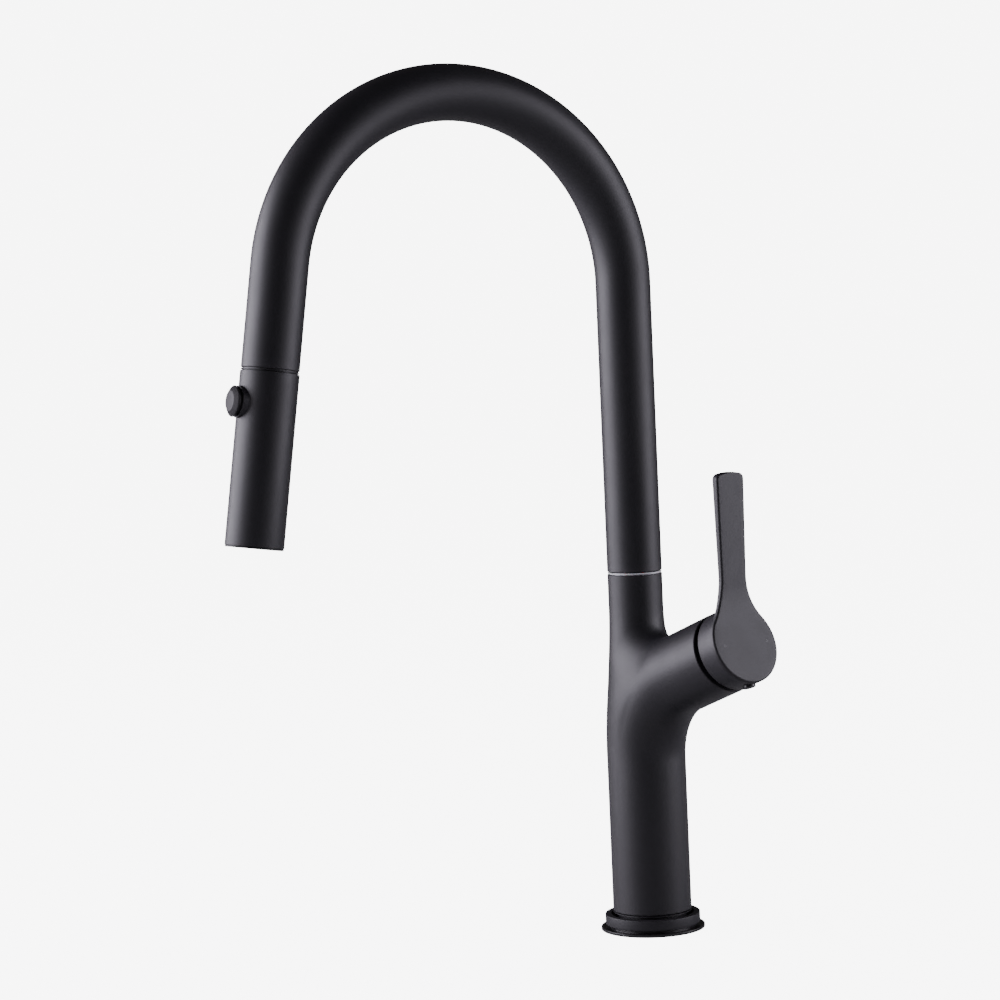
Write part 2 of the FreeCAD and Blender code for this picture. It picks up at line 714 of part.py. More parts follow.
def aerator_insert():
    plug = rod(5.6, AERATOR_START + 1.9, HEAD_LENGTH - 1.0)
    hole = rod(0.6, AERATOR_START, HEAD_LENGTH)
    holes = [hole] + around(hole, 6, 2.0) + around(hole, 12, 4.0)
    return to_head(plug.cut(Part.makeCompound(holes)))


def face_bezel():
    """Ring that holds the spray face in; a fine line separates it from the shell."""
    back = HEAD_LENGTH - 2.2
    flange = HEAD_LENGTH + 0.15
    front = HEAD_LENGTH + BEZEL_PROUD
    return to_head(turned([
        (11.9, back), (12.5, back), (12.5, flange), (13.8, flange),
        (13.8, front - 0.3), (13.5, front), (11.9, front),
    ]))


# ---- lever -----------------------------------------------------------------------------------------
def blade_outline(bottom, top, shift):
    """The blade's front outline as a face in the XY plane: X is the distance along the blade."""
    line_x = BLADE_HALF_ROOT + BLADE_FLARE_R
    centre_u = math.sqrt((HUB_R + BLADE_FLARE_R) ** 2 - line_x ** 2)
    tangent = HUB_R / (HUB_R + BLADE_FLARE_R)
    flare_end = V(centre_u, BLADE_HALF_ROOT, 0)
    flare_start = V(centre_u * tangent, line_x * tangent, 0)
    along = (flare_start.x + flare_end.x) / 2
    middle = V(along, line_x - math.sqrt(BLADE_FLARE_R ** 2 - (centre_u - along) ** 2), 0)
    tip = BLADE_HINGE_U + BLADE_HEIGHT
    corner = V(tip - 0.6, BLADE_HALF_TIP, 0)
    bow = math.sqrt(0.5)
    corner_start = corner - V(BLADE_CORNER_R, 0, 0)
    corner_middle = corner - V(BLADE_CORNER_R * (1 - bow), BLADE_CORNER_R * (1 - bow), 0)
    corner_end = corner - V(0, BLADE_CORNER_R, 0)

    def mirrored(point):
        return V(point.x, -point.y, 0)

    half = [
        Part.LineSegment(V(0, flare_start.y, 0), flare_start),
        Part.Arc(flare_start, middle, flare_end),
        Part.LineSegment(flare_end, corner_start),
        Part.Arc(corner_start, corner_middle, corner_end),
    ]
    other = [
        Part.Arc(mirrored(corner_end), mirrored(corner_middle), mirrored(corner_start)),
        Part.LineSegment(mirrored(corner_start), mirrored(flare_end)),
        Part.Arc(mirrored(flare_end), mirrored(middle), mirrored(flare_start)),
        Part.LineSegment(mirrored(flare_start), V(0, -flare_start.y, 0)),
    ]
    crown = [Part.Arc(corner_end, V(tip, 0, 0), mirrored(corner_end))]
    base = [Part.LineSegment(V(0, -flare_start.y, 0), V(0, flare_start.y, 0))]
    wire = Part.Wire([piece.toShape() for piece in half + crown + other + base])
    face = Part.Face(wire)
    window = Part.makeBox(top - bottom, 60, 60, V(bottom, -30, -30))
    solid = face.extrude(V(0, 0, 24)).common(window)
    solid.translate(V(-shift, 0, -12))
    return solid


def hub_centre():
    rise = math.radians(BRANCH_RISE)
    return V(SWIVEL_X + HUB_FRONT * math.cos(rise), 0, BRANCH_CROSS_Z + HUB_FRONT * math.sin(rise))


def blade_hinge():
    rise = math.radians(BRANCH_RISE)
    return hub_centre() + V(-BLADE_HINGE_U * math.sin(rise), 0, BLADE_HINGE_U * math.cos(rise))


def side_profile(points):
    """A wide slab across the lever from its outline seen from the side, as (x, z) points."""
    corners = [V(x, -30, z) for x, z in points]
    return Part.Face(Part.makePolygon(corners + [corners[0]])).extrude(V(0, 60, 0))


def blade():
    """The blade leaves the hub's face, then bends to stand upright."""
    rise = math.radians(BRANCH_RISE)
    root = hub_centre() + V(-BLADE_ROOT_U * math.sin(rise), 0, BLADE_ROOT_U * math.cos(rise))
    hinge = blade_hinge()
    back = V(-math.cos(rise), 0, -math.sin(rise))
    inner = hinge + V(-BLADE_ROOT_T, 0, -BLADE_ROOT_T * math.tan(rise / 2))
    root_back = root + back * BLADE_ROOT_T
    low = side_profile([(root.x, root.z), (hinge.x, hinge.z), (inner.x, inner.z), (root_back.x, root_back.z)])
    tip_z = hinge.z + BLADE_HEIGHT
    high = side_profile([
        (hinge.x, hinge.z), (hinge.x, tip_z), (hinge.x - BLADE_TIP_T, tip_z), (inner.x, inner.z),
    ])
    plate_low = blade_outline(0, BLADE_HINGE_U + 5, 0)
    plate_low.rotate(V(0, 0, 0), V(0, 1, 0), -90 - BRANCH_RISE)
    plate_low.translate(hub_centre())
    plate_high = blade_outline(BLADE_HINGE_U - 5, 200, BLADE_HINGE_U)
    plate_high.rotate(V(0, 0, 0), V(0, 1, 0), -90)
    plate_high.translate(hinge)
    return low.common(plate_low).fuse(high.common(plate_high))


def lever_handle():
    hub = turned([
        (0, HUB_SOLID), (HUB_SKIRT_R, HUB_SOLID), (HUB_SKIRT_R, HUB_REAR), (HUB_R - 0.4, HUB_REAR),
        (HUB_R, HUB_REAR + 0.4), (HUB_R, HUB_FRONT - HUB_BEVEL), (HUB_R - HUB_BEVEL, HUB_FRONT), (0, HUB_FRONT),
    ])
    socket = Part.makeBox(7.2, 7.2, 7.0, V(-3.6, -3.6, HUB_SOLID - 0.5))
    screw_hole = cross_rod(2.6, 3.0, 25.0, SET_SCREW_AT)
    plug_hole = cross_rod(PLUG_R + 0.05, 16.6, 25.0, SET_SCREW_AT)
    hub = hub.cut(socket).cut(screw_hole).cut(plug_hole)
    for side in (-1, 1):
        hub = hub.cut(moved(rod(0.8, HUB_FRONT - 0.3, HUB_FRONT + 1), 0, side * MARK_OFFSET, 0))
    return to_branch(hub).fuse(blade())


def set_screw():
    screw = cross_rod(2.5, 3.62, 14.6, SET_SCREW_AT)
    hexagon = [V(14.7, 1.25 * math.cos(a * math.pi / 3), SET_SCREW_AT + 1.25 * math.sin(a * math.pi / 3))
               for a in range(6)]
    socket = Part.Face(Part.makePolygon(hexagon + [hexagon[0]])).extrude(V(-3.0, 0, 0))
    return to_branch(screw.cut(socket))


def set_screw_plug():
    plug = cross_rod(PLUG_R, 16.7, HUB_R + PLUG_PROUD, SET_SCREW_AT)
    return to_branch(plug)


def index_marks():
    dots = []
    for side in (-1, 1):
        dots.append(moved(rod(0.78, HUB_FRONT - 0.28, HUB_FRONT - 0.05), 0, side * MARK_OFFSET, 0))
    return to_branch(Part.makeCompound(dots))


NODES = {
    "deck_gasket": deck_gasket,
    "base_ring": base_ring,
    "base_insert": base_insert,
    "body_casting": body_casting,
    "hot_supply_tube": lambda: supply_tube(0),
    "cold_supply_tube": lambda: supply_tube(1),
    "mixed_outlet_tube": lambda: supply_tube(2),
    "cartridge_holder": cartridge_holder,
    "port_seals": port_seals,
    "cartridge_base": cartridge_base,
    "fixed_disc": fixed_disc,
    "moving_disc": moving_disc,
    "disc_carrier": disc_carrier,
    "cartridge_housing": cartridge_housing,
    "stem_carrier": stem_carrier,
    "pivot_pin": pivot_pin,
    "cartridge_stem": cartridge_stem,
    "cartridge_nut": cartridge_nut,
    "dome_cap": dome_cap,
    "slip_ring": slip_ring,
    "swivel_insert": swivel_insert,
    "swivel_orings": swivel_orings,
    "swivel_clip": swivel_clip,
    "spout_tube": spout_tube,
    "docking_collar": docking_collar,
    "dock_magnet": dock_magnet,
    "spray_hose": spray_hose,
    "hose_end_fitting": hose_end_fitting,
    "head_shell": head_shell,
    "head_inlet": head_inlet,
    "hose_ferrule": hose_ferrule,
    "inlet_oring": inlet_oring,
    "check_valve": check_valve,
    "valve_core": valve_core,
    "button_collar": button_collar,
    "button_cap": button_cap,
    "diverter_spool": diverter_spool,
    "spool_seal": spool_seal,
    "button_spring": button_spring,
    "spray_chamber": spray_chamber,
    "spray_face": spray_face,
    "spray_nozzles": spray_nozzles,
    "aerator_housing": aerator_housing,
    "aerator_insert": aerator_insert,
    "face_bezel": face_bezel,
    "lever_handle": lever_handle,
    "set_screw": set_screw,
    "set_screw_plug": set_screw_plug,
    "index_marks": index_marks,
}

os.makedirs("parts", exist_ok=True)
for name, build in NODES.items():
    shape = build()
    shape.exportStep("parts/%s.step" % name)
    print(name, "solids", len(shape.Solids), "valid", shape.isValid(), "volume", round(shape.Volume, 1))
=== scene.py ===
"""Looks for the pull-down kitchen faucet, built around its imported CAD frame.

Metres throughout, in the CAD's own frame: +Z up from the deck, +X towards the lever's branch.
Turned pieces are lathed from rounded profiles, the spout and the hose are swept along the arch, the
body is one smooth skin over its two merging pipes, and the lever is lofted from its outline.
"""
import json
import math

import bmesh
import bpy
import numpy as np
from mathutils import Matrix, Vector


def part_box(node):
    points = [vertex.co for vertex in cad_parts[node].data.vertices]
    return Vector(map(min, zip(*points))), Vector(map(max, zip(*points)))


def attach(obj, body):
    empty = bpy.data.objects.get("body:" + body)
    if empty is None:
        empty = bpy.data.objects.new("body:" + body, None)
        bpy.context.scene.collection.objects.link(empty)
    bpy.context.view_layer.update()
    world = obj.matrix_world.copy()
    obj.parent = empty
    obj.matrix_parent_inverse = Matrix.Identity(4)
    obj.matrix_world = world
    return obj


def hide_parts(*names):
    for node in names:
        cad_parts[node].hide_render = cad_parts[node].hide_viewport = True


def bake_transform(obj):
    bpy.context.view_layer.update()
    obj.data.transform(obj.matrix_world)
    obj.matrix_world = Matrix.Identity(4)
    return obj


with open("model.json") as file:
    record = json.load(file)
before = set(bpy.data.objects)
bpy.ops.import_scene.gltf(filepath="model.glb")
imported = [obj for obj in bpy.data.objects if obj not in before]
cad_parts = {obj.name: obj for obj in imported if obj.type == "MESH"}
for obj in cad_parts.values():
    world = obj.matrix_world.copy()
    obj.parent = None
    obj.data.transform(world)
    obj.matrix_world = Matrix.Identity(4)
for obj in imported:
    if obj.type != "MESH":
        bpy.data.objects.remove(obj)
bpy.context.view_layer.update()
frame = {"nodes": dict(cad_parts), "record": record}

NODES = frame["nodes"]
JOINTS = {joint["name"]: joint for joint in frame["record"]["behaviour"]["joints"]}
SLOTS = {row["node"]: row["material_slot"] for row in frame["record"]["subparts"]}
UP = Vector((0, 0, 1))
MM = 0.001


# ---- places read from the frame ----------------------------------------------------------------------
def joint_axis(name):
    return Vector(JOINTS[name]["axis"]).normalized()


def joint_point(name):
    return Vector(JOINTS[name]["pos_m"])


def reach(node, origin, direction):
    """The node's nearest and furthest distance from a point along a direction."""
    along = [(vertex.co - origin).dot(direction) for vertex in NODES[node].data.vertices]
    return min(along), max(along)


def frame_along(origin, direction, side=Vector((0, 1, 0))):
    """A frame at a point: Z along the direction, and Y as near to `side` as it can be."""
    z = direction.normalized()
    x = side.cross(z).normalized()
    y = z.cross(x)
    return Matrix.Translation(origin) @ Matrix((x, y, z)).transposed().to_4x4()


SWIVEL = joint_point("spout_swivel")
LEG = joint_axis("head_pulldown")
BRANCH = joint_axis("temperature_turn")
BRANCH_RISE = math.asin(BRANCH.z)
ACROSS_BRANCH = Vector((0, 1, 0))
UP_BRANCH = BRANCH.cross(ACROSS_BRANCH)
PRESS = joint_axis("button_press")
SPOUT_OUT = Vector((LEG.x, LEG.y, 0)).normalized()
PIVOT = joint_point("temperature_turn")
BRANCH_ORIGIN = PIVOT - BRANCH * ((PIVOT.x - SWIVEL.x) / BRANCH.x)
BASE_FRAME = Matrix.Identity(4)
SWIVEL_FRAME = Matrix.Translation((SWIVEL.x, 0, 0))
BRANCH_FRAME = frame_along(BRANCH_ORIGIN, BRANCH)


# ---- camera, floor and light -------------------------------------------------------------------------
CAMERA_PLACE = (1.05800, -0.89089, 0.29728)
CAMERA_HEADING = 142.77
CAMERA_PITCH = -3.08
CAMERA_ROLL = -2.48
CAMERA_LENS = 97.73
ROOM_LIGHT = 0.05
BACKDROP_GLOW = 7.5
FLOOR_GLOW = 7.5
FLOOR_LIGHT = 0.03
FLOOR_HALF = 6.0
FLOOR_COLOR = (0.50, 0.50, 0.50, 1)
LIGHT_COLOR = (0.97, 0.93, 1.05)
# name: bearing from the camera, distance, height, width and height of the panel, power, height aimed at
SOFTBOXES = {
    "left_softbox": (-95, 1.6, 0.20, (1.6, 2.0), 72, 0.14),
    "left_front_fill": (-60, 1.1, 0.30, (0.5, 1.0), 1.8, 0.18),
    "right_front_fill": (48, 1.1, 0.20, (0.45, 1.0), 0.9, 0.14),
    "right_softbox": (84, 1.4, 0.20, (1.1, 1.8), 26, 0.14),
}


def add_camera():
    data = bpy.data.cameras.new("camera")
    data.lens = CAMERA_LENS
    data.sensor_width = 36.0
    data.clip_end = 30.0
    camera = bpy.data.objects.new("camera", data)
    bpy.context.scene.collection.objects.link(camera)
    turn = Matrix.Rotation(math.radians(CAMERA_HEADING - 90), 4, "Z")
    tip = Matrix.Rotation(math.radians(90 + CAMERA_PITCH), 4, "X")
    roll = Matrix.Rotation(math.radians(CAMERA_ROLL), 4, "Z")
    camera.matrix_world = Matrix.Translation(CAMERA_PLACE) @ turn @ tip @ roll
    bpy.context.scene.camera = camera


def add_softbox(name, bearing, distance, height, size, power, aim_height):
    """A soft panel light round the faucet: bearing 0 is the camera's side, positive to its right."""
    angle = math.radians(CAMERA_HEADING + 180 + bearing)
    data = bpy.data.lights.new(name, "AREA")
    data.shape = "RECTANGLE"
    data.size, data.size_y = size
    data.energy = power
    data.color = LIGHT_COLOR
    lamp = bpy.data.objects.new(name, data)
    bpy.context.scene.collection.objects.link(lamp)
    lamp.location = (distance * math.cos(angle), distance * math.sin(angle), height)
    aim = Vector((0, 0, aim_height)) - lamp.location
    lamp.rotation_euler = aim.to_track_quat("-Z", "Y").to_euler()


def camera_only(tree, unseen, seen):
    """A strength that is `seen` straight from the camera and `unseen` in the light on the object."""
    path = tree.nodes.new("ShaderNodeLightPath")
    level = tree.nodes.new("ShaderNodeMapRange")
    level.inputs["To Min"].default_value = unseen
    level.inputs["To Max"].default_value = seen
    tree.links.new(path.outputs["Is Camera Ray"], level.inputs["Value"])
    return level.outputs["Result"]


def add_stage():
    """Pale floor and backdrop. Both glow mostly for the camera, so the softboxes do the lighting."""
    mesh = bpy.data.meshes.new("floor")
    corners = [(-FLOOR_HALF, -FLOOR_HALF, 0), (FLOOR_HALF, -FLOOR_HALF, 0),
               (FLOOR_HALF, FLOOR_HALF, 0), (-FLOOR_HALF, FLOOR_HALF, 0)]
    mesh.from_pydata(corners, [], [(0, 1, 2, 3)])
    floor = bpy.data.objects.new("floor", mesh)
    bpy.context.scene.collection.objects.link(floor)
    paper = bpy.data.materials.new("floor_paper")
    paper.use_nodes = True
    bsdf = paper.node_tree.nodes["Principled BSDF"]
    bsdf.inputs["Base Color"].default_value = FLOOR_COLOR
    bsdf.inputs["Roughness"].default_value = 0.9
    bsdf.inputs["Emission Color"].default_value = (1, 1, 1, 1)
    glow = camera_only(paper.node_tree, FLOOR_LIGHT, FLOOR_GLOW)
    paper.node_tree.links.new(glow, bsdf.inputs["Emission Strength"])
    mesh.materials.append(paper)
    world = bpy.data.worlds.new("studio")
    world.use_nodes = True
    background = world.node_tree.nodes["Background"]
    background.inputs["Color"].default_value = (1, 1, 1, 1)
    strength = camera_only(world.node_tree, ROOM_LIGHT, BACKDROP_GLOW)
    world.node_tree.links.new(strength, background.inputs["Strength"])
    bpy.context.scene.world = world


# ---- materials ---------------------------------------------------------------------------------------
def set_mix_color(mix, name, color):
    """Sets one of a mix node's colour sockets, which share their names with its number sockets."""
    for socket in mix.inputs:
        if socket.type == "RGBA" and socket.name == name:
            socket.default_value = (*color, 1)


def shaded(name, color, roughness, metallic=0.0, mottle=0.12, mottle_scale=60.0, rough_spread=0.05,
           grain_scale=2200.0, grain_depth=0.02, stretch=(1, 1, 1), edge_wear_and_highlight=0.0, **constants):
    """A surface with broad mottling in colour and roughness, fine grain in its relief and edges painted
    lighter as wear and highlight.

    Scales are per metre, and grain_depth is in millimetres. `stretch` draws the grain out into brush
    marks, and `constants` go straight to the shader's own sockets.
    """
    mat = bpy.data.materials.new(name)
    mat.use_nodes = True
    tree = mat.node_tree
    bsdf = tree.nodes["Principled BSDF"]
    bsdf.inputs["Metallic"].default_value = metallic
    for socket, value in constants.items():
        bsdf.inputs[socket.replace("_", " ")].default_value = value

    def node(kind, **inputs):
        made = tree.nodes.new(kind)
        for socket, value in inputs.items():
            made.inputs[socket.replace("_", " ")].default_value = value
        return made

    place = node("ShaderNodeTexCoord")
    brush = node("ShaderNodeMapping", Scale=stretch)
    tree.links.new(place.outputs["Object"], brush.inputs["Vector"])
    broad = node("ShaderNodeTexNoise", Scale=mottle_scale, Detail=3.0, Roughness=0.6)
    tree.links.new(place.outputs["Object"], broad.inputs["Vector"])
    fine = node("ShaderNodeTexNoise", Scale=grain_scale, Detail=2.0, Roughness=0.5)
    tree.links.new(brush.outputs["Vector"], fine.inputs["Vector"])

    tone = node("ShaderNodeMix")
    tone.data_type = "RGBA"
    set_mix_color(tone, "A", [c * (1 - mottle) for c in color])
    set_mix_color(tone, "B", [c * (1 + mottle) for c in color])
    tree.links.new(broad.outputs["Fac"], tone.inputs["Factor"])
    finish = node("ShaderNodeMapRange", From_Min=0.3, From_Max=0.7)
    finish.inputs["To Min"].default_value = roughness - rough_spread
    finish.inputs["To Max"].default_value = roughness + rough_spread
    tree.links.new(broad.outputs["Fac"], finish.inputs["Value"])
    color_out = next(s for s in tone.outputs if s.type == "RGBA")
    # Sharp edges, found by pointiness, are painted lighter: partly rubbed wear, partly a painted highlight.
    if edge_wear_and_highlight > 0:
        shape = node("ShaderNodeNewGeometry")
        edge = node("ShaderNodeMapRange", From_Min=0.53, From_Max=0.60)
        edge.inputs["To Max"].default_value = edge_wear_and_highlight
        tree.links.new(shape.outputs["Pointiness"], edge.inputs["Value"])
        wear_and_highlight_mix = node("ShaderNodeMix")
        wear_and_highlight_mix.data_type = "RGBA"
        set_mix_color(wear_and_highlight_mix, "B", [min(1.0, c * 3.0 + 0.01) for c in color])
        tree.links.new(edge.outputs["Result"], wear_and_highlight_mix.inputs["Factor"])
        tree.links.new(color_out, next(s for s in wear_and_highlight_mix.inputs if s.type == "RGBA" and s.name == "A"))
        color_out = next(s for s in wear_and_highlight_mix.outputs if s.type == "RGBA")
    tree.links.new(color_out, bsdf.inputs["Base Color"])
    tree.links.new(finish.outputs["Result"], bsdf.inputs["Roughness"])
    relief = node("ShaderNodeBump", Strength=1.0, Distance=grain_depth * MM)
    tree.links.new(fine.outputs["Fac"], relief.inputs["Height"])
    tree.links.new(relief.outputs["Normal"], bsdf.inputs["Normal"])
    return mat


def braid_material():
    """Nylon braid: the strands' own relief is in the mesh, and the gaps between them are painted darker as
    shade.
    """
    mat = shaded("braided_nylon", (0.05, 0.05, 0.055), 0.55, grain_scale=5000.0, grain_depth=0.03)
    tree = mat.node_tree
    bsdf = tree.nodes["Principled BSDF"]
    height = tree.nodes.new("ShaderNodeAttribute")
    height.attribute_name = "strand"
    # Painted shade: the strand height darkens the gaps between strands and leaves their crowns lighter.
    painted_gap_shade = tree.nodes.new("ShaderNodeValToRGB")
    painted_gap_shade.color_ramp.elements[0].color = (0.004, 0.004, 0.005, 1)
    painted_gap_shade.color_ramp.elements[1].color = (0.085, 0.085, 0.095, 1)
    tree.links.new(height.outputs["Fac"], painted_gap_shade.inputs["Fac"])
    tree.links.new(painted_gap_shade.outputs["Color"], bsdf.inputs["Base Color"])
    return mat


# The edge amount given to some finishes paints their sharp edges lighter: rubbed wear plus a painted
# highlight.
MATERIALS = {
    "matte_black": shaded("matte_black", (0.0125, 0.0115, 0.0145), 0.48, edge_wear_and_highlight=0.5, grain_scale=3000.0,
                          grain_depth=0.006, mottle=0.10, rough_spread=0.02),
    "black_rubber": shaded("black_rubber", (0.014, 0.013, 0.015), 0.30, grain_scale=1500.0,
                           grain_depth=0.004, rough_spread=0.06),
    "gloss_black": shaded("gloss_black", (0.010, 0.010, 0.012), 0.20, grain_scale=900.0, grain_depth=0.002,
                          rough_spread=0.03, edge_wear_and_highlight=0.3, Coat_Weight=0.3, Coat_Roughness=0.1),
    "dark_plastic": shaded("dark_plastic", (0.011, 0.010, 0.012), 0.45, grain_scale=2600.0,
                           grain_depth=0.006, Specular_IOR_Level=0.25),
    "grey_plastic": shaded("grey_plastic", (0.11, 0.115, 0.12), 0.48, grain_scale=2400.0,
                           grain_depth=0.012),
    "white_nylon": shaded("white_nylon", (0.78, 0.78, 0.80), 0.42, mottle=0.03, grain_scale=2400.0,
                          grain_depth=0.008, Subsurface_Weight=0.05, Subsurface_Scale=0.001),
    "brass": shaded("brass", (0.70, 0.50, 0.23), 0.26, metallic=1.0, mottle=0.10, grain_scale=4000.0,
                    grain_depth=0.006, stretch=(0.05, 0.05, 1.0), edge_wear_and_highlight=0.2),
    "steel": shaded("steel", (0.62, 0.62, 0.63), 0.24, metallic=1.0, mottle=0.06, grain_scale=4000.0,
                    grain_depth=0.005, stretch=(1.0, 1.0, 0.04)),
    "ceramic": shaded("ceramic", (0.80, 0.79, 0.75), 0.14, mottle=0.02, grain_scale=3000.0,
                      grain_depth=0.002),
    "magnet": shaded("magnet", (0.20, 0.20, 0.21), 0.42, metallic=0.7, grain_scale=3200.0,
                     grain_depth=0.012),
    "soft_grey_rubber": shaded("soft_grey_rubber", (0.10, 0.10, 0.105), 0.62, grain_scale=2600.0,
                               grain_depth=0.010, Sheen_Weight=0.15),
    "mark_enamel": shaded("mark_enamel", (0.055, 0.055, 0.060), 0.30, grain_scale=2000.0,
                          grain_depth=0.003),
    "braided_nylon": braid_material(),
}


# ---- mesh helpers ------------------------------------------------------------------------------------
def new_piece(name, vertices, faces, body, slot, replaced=(), sharp_angle=40.0):
    """A smooth-shaded mesh piece that rides on a body and stands for CAD nodes."""
    mesh = bpy.data.meshes.new(name)
    mesh.from_pydata([tuple(v) for v in vertices], [], faces)
    mesh.validate()
    bm = bmesh.new()
    bm.from_mesh(mesh)
    bmesh.ops.remove_doubles(bm, verts=bm.verts, dist=1e-7)
    bmesh.ops.recalc_face_normals(bm, faces=bm.faces)
    limit = math.radians(sharp_angle)
    for edge in bm.edges:
        edge.smooth = edge.calc_face_angle(0.0) < limit
    for face in bm.faces:
        face.smooth = True
    bm.to_mesh(mesh)
    bm.free()
    mesh.materials.append(MATERIALS[slot])
    piece = bpy.data.objects.new(name, mesh)
    bpy.context.scene.collection.objects.link(piece)
    if body:
        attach(piece, body)
    if replaced:
        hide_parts(*replaced)
    return piece


def rounded(corners, steps=4):
    """A closed outline from (radius, height, rounding) corners, with an arc at each rounded corner."""
    points = []
    count = len(corners)
    for index, (r, z, rounding) in enumerate(corners):
        here = Vector((r, z))
        before = Vector(corners[index - 1][:2]) - here
        after = Vector(corners[(index + 1) % count][:2]) - here
        if rounding <= 0 or before.length == 0 or after.length == 0:
            points.append(here)
            continue
        half = before.angle(after) / 2
        trim = min(rounding / math.tan(half), 0.49 * before.length, 0.49 * after.length)
        start = here + before.normalized() * trim
        end = here + after.normalized() * trim
        for step in range(steps + 1):
            t = step / steps
            points.append(start * (1 - t) ** 2 + here * 2 * t * (1 - t) + end * t ** 2)
    return points


def lathed(name, corners, place, body, slot, replaced=(), segments=128, gap=None):
    """A turned piece from millimetre corners; gap is the (middle, width) angle of a split, in degrees."""
    outline = rounded(corners)
    on_axis = [p.x < 1e-6 for p in outline]
    count = len(outline)
    start = 0.0
    sweep = 2 * math.pi
    turns = segments
    if gap:
        start = math.radians(gap[0] + gap[1] / 2)
        sweep = math.radians(360 - gap[1])
        turns = segments + 1
    vertices = []
    for turn in range(turns):
        angle = start + sweep * turn / segments
        for point in outline:
            spot = Vector((point.x * math.cos(angle), point.x * math.sin(angle), point.y)) * MM
            vertices.append(place @ spot)
    faces = []
    for turn in range(segments):
        near = turn * count
        far = ((turn + 1) % turns) * count
        for index in range(count):
            following = (index + 1) % count
            if on_axis[index] and on_axis[following]:
                continue
            faces.append((near + index, near + following, far + following, far + index))
    if gap:
        faces.append(tuple(range(count)))
        faces.append(tuple((turns - 1) * count + index for index in range(count)))
    return new_piece(name, vertices, faces, body, slot, replaced)


def swept(name, rings, body, slot, replaced=(), segments=96, closed=True):
    """A tube through (centre, direction, radius) rings that all lie square to the spout's own plane."""
    vertices = []
    for centre, direction, radius in rings:
        across = direction.cross(SPOUT_SIDE)
        for turn in range(segments):
            angle = 2 * math.pi * turn / segments
            vertices.append(centre + (SPOUT_SIDE * math.cos(angle) + across * math.sin(angle)) * radius)
    faces = []
    count = len(rings)
    for index in range(count if closed else count - 1):
        near = index * segments
        far = ((index + 1) % count) * segments
        for turn in range(segments):
            after = (turn + 1) % segments
            faces.append((near + turn, near + after, far + after, far + turn))
    return new_piece(name, vertices, faces, body, slot, replaced)


# ---- base and swivel joint, in millimetres -----------------------------------------------------------
RING_CLEARANCE = 0.25
RING_LEDGE = 0.75
RING_LEDGE_DROP = 1.5
RING_UNDERCUT = 2.0
RING_UNDERCUT_HEIGHT = 0.7
FOOT_BORE_R = 16.8
FOOT_RECESS = 2.6
FOOT_GROOVE = 2.0
FOOT_BAND_LOW = 0.9
FOOT_BAND_HIGH = 0.5
GASKET_BORE_R = 17.0
GASKET_RIB_R = 21.8
GASKET_PLATE = 0.9
GASKET_LIP = 1.5
GASKET_LIP_WIDTH = 1.4
SLIP_RING_BORE_R = 12.05
SLIP_RING_SLEEVE_R = 13.0
SLIP_RING_T = 0.45
SLIP_RING_SPLIT = (-96, 3.0)


def add_base():
    """Foot of the column with its shadow grooves, the trim ring round it and the dished gasket."""
    ring_low, ring_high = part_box("base_ring")
    outer = ring_high.x / MM
    low = ring_low.z / MM
    top = ring_high.z / MM
    bore = COLUMN_R / MM + RING_CLEARANCE
    recess = bore + RING_LEDGE
    ledge = top - RING_LEDGE_DROP
    undercut = outer - RING_UNDERCUT
    edge = low + RING_UNDERCUT_HEIGHT
    lathed("base_ring_turned", [
        (bore, low, 0), (undercut, low, 0), (undercut, edge, 0), (outer, edge, 0.3), (outer, top, 0.35),
        (recess, top, 0.2), (recess, ledge, 0.1), (bore, ledge, 0.2),
    ], BASE_FRAME, "body", "matte_black", ["base_ring"], 160)
    column = COLUMN_R / MM
    join = FOOT_JOIN / MM
    recess = column - FOOT_RECESS
    groove = column - FOOT_GROOVE
    band = column - 0.1
    lathed("column_foot", [
        (FOOT_BORE_R, low, 0), (recess, low, 0), (recess, join - FOOT_BAND_LOW - 0.05, 0),
        (band, join - FOOT_BAND_LOW, 0.1), (band, join - FOOT_BAND_HIGH, 0.1),
        (groove, join - FOOT_BAND_HIGH, 0), (groove, join + 2.0, 0), (FOOT_BORE_R, join + 2.0, 0),
    ], BASE_FRAME, "body", "matte_black", ["body_casting"], 160)
    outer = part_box("deck_gasket")[1].x / MM
    lip = outer - GASKET_LIP_WIDTH
    lathed("deck_gasket_moulded", [
        (GASKET_BORE_R, 0, 0), (outer, 0, 0.3), (outer, GASKET_LIP, 0.25), (lip, GASKET_LIP, 0.25),
        (lip - 0.4, GASKET_PLATE, 0.2), (GASKET_RIB_R, GASKET_PLATE, 0.3), (GASKET_RIB_R, low, 0.1),
        (GASKET_BORE_R, low, 0),
    ], BASE_FRAME, "body", "black_rubber", ["deck_gasket"], 160)


def add_slip_ring():
    """White split washer between the body and the spout: its flange shows as a fine line."""
    low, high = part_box("slip_ring")
    outer = (high.x - low.x) / 2 / MM
    bottom = low.z / MM
    top = high.z / MM
    flange = top - SLIP_RING_T
    lathed("slip_ring_split", [
        (SLIP_RING_BORE_R, bottom, 0), (SLIP_RING_SLEEVE_R, bottom, 0), (SLIP_RING_SLEEVE_R, flange, 0),
        (outer, flange, 0.12), (outer, top, 0.12), (SLIP_RING_BORE_R, top, 0),
    ], SWIVEL_FRAME, "body", "white_nylon", ["slip_ring"], 128, gap=SLIP_RING_SPLIT)


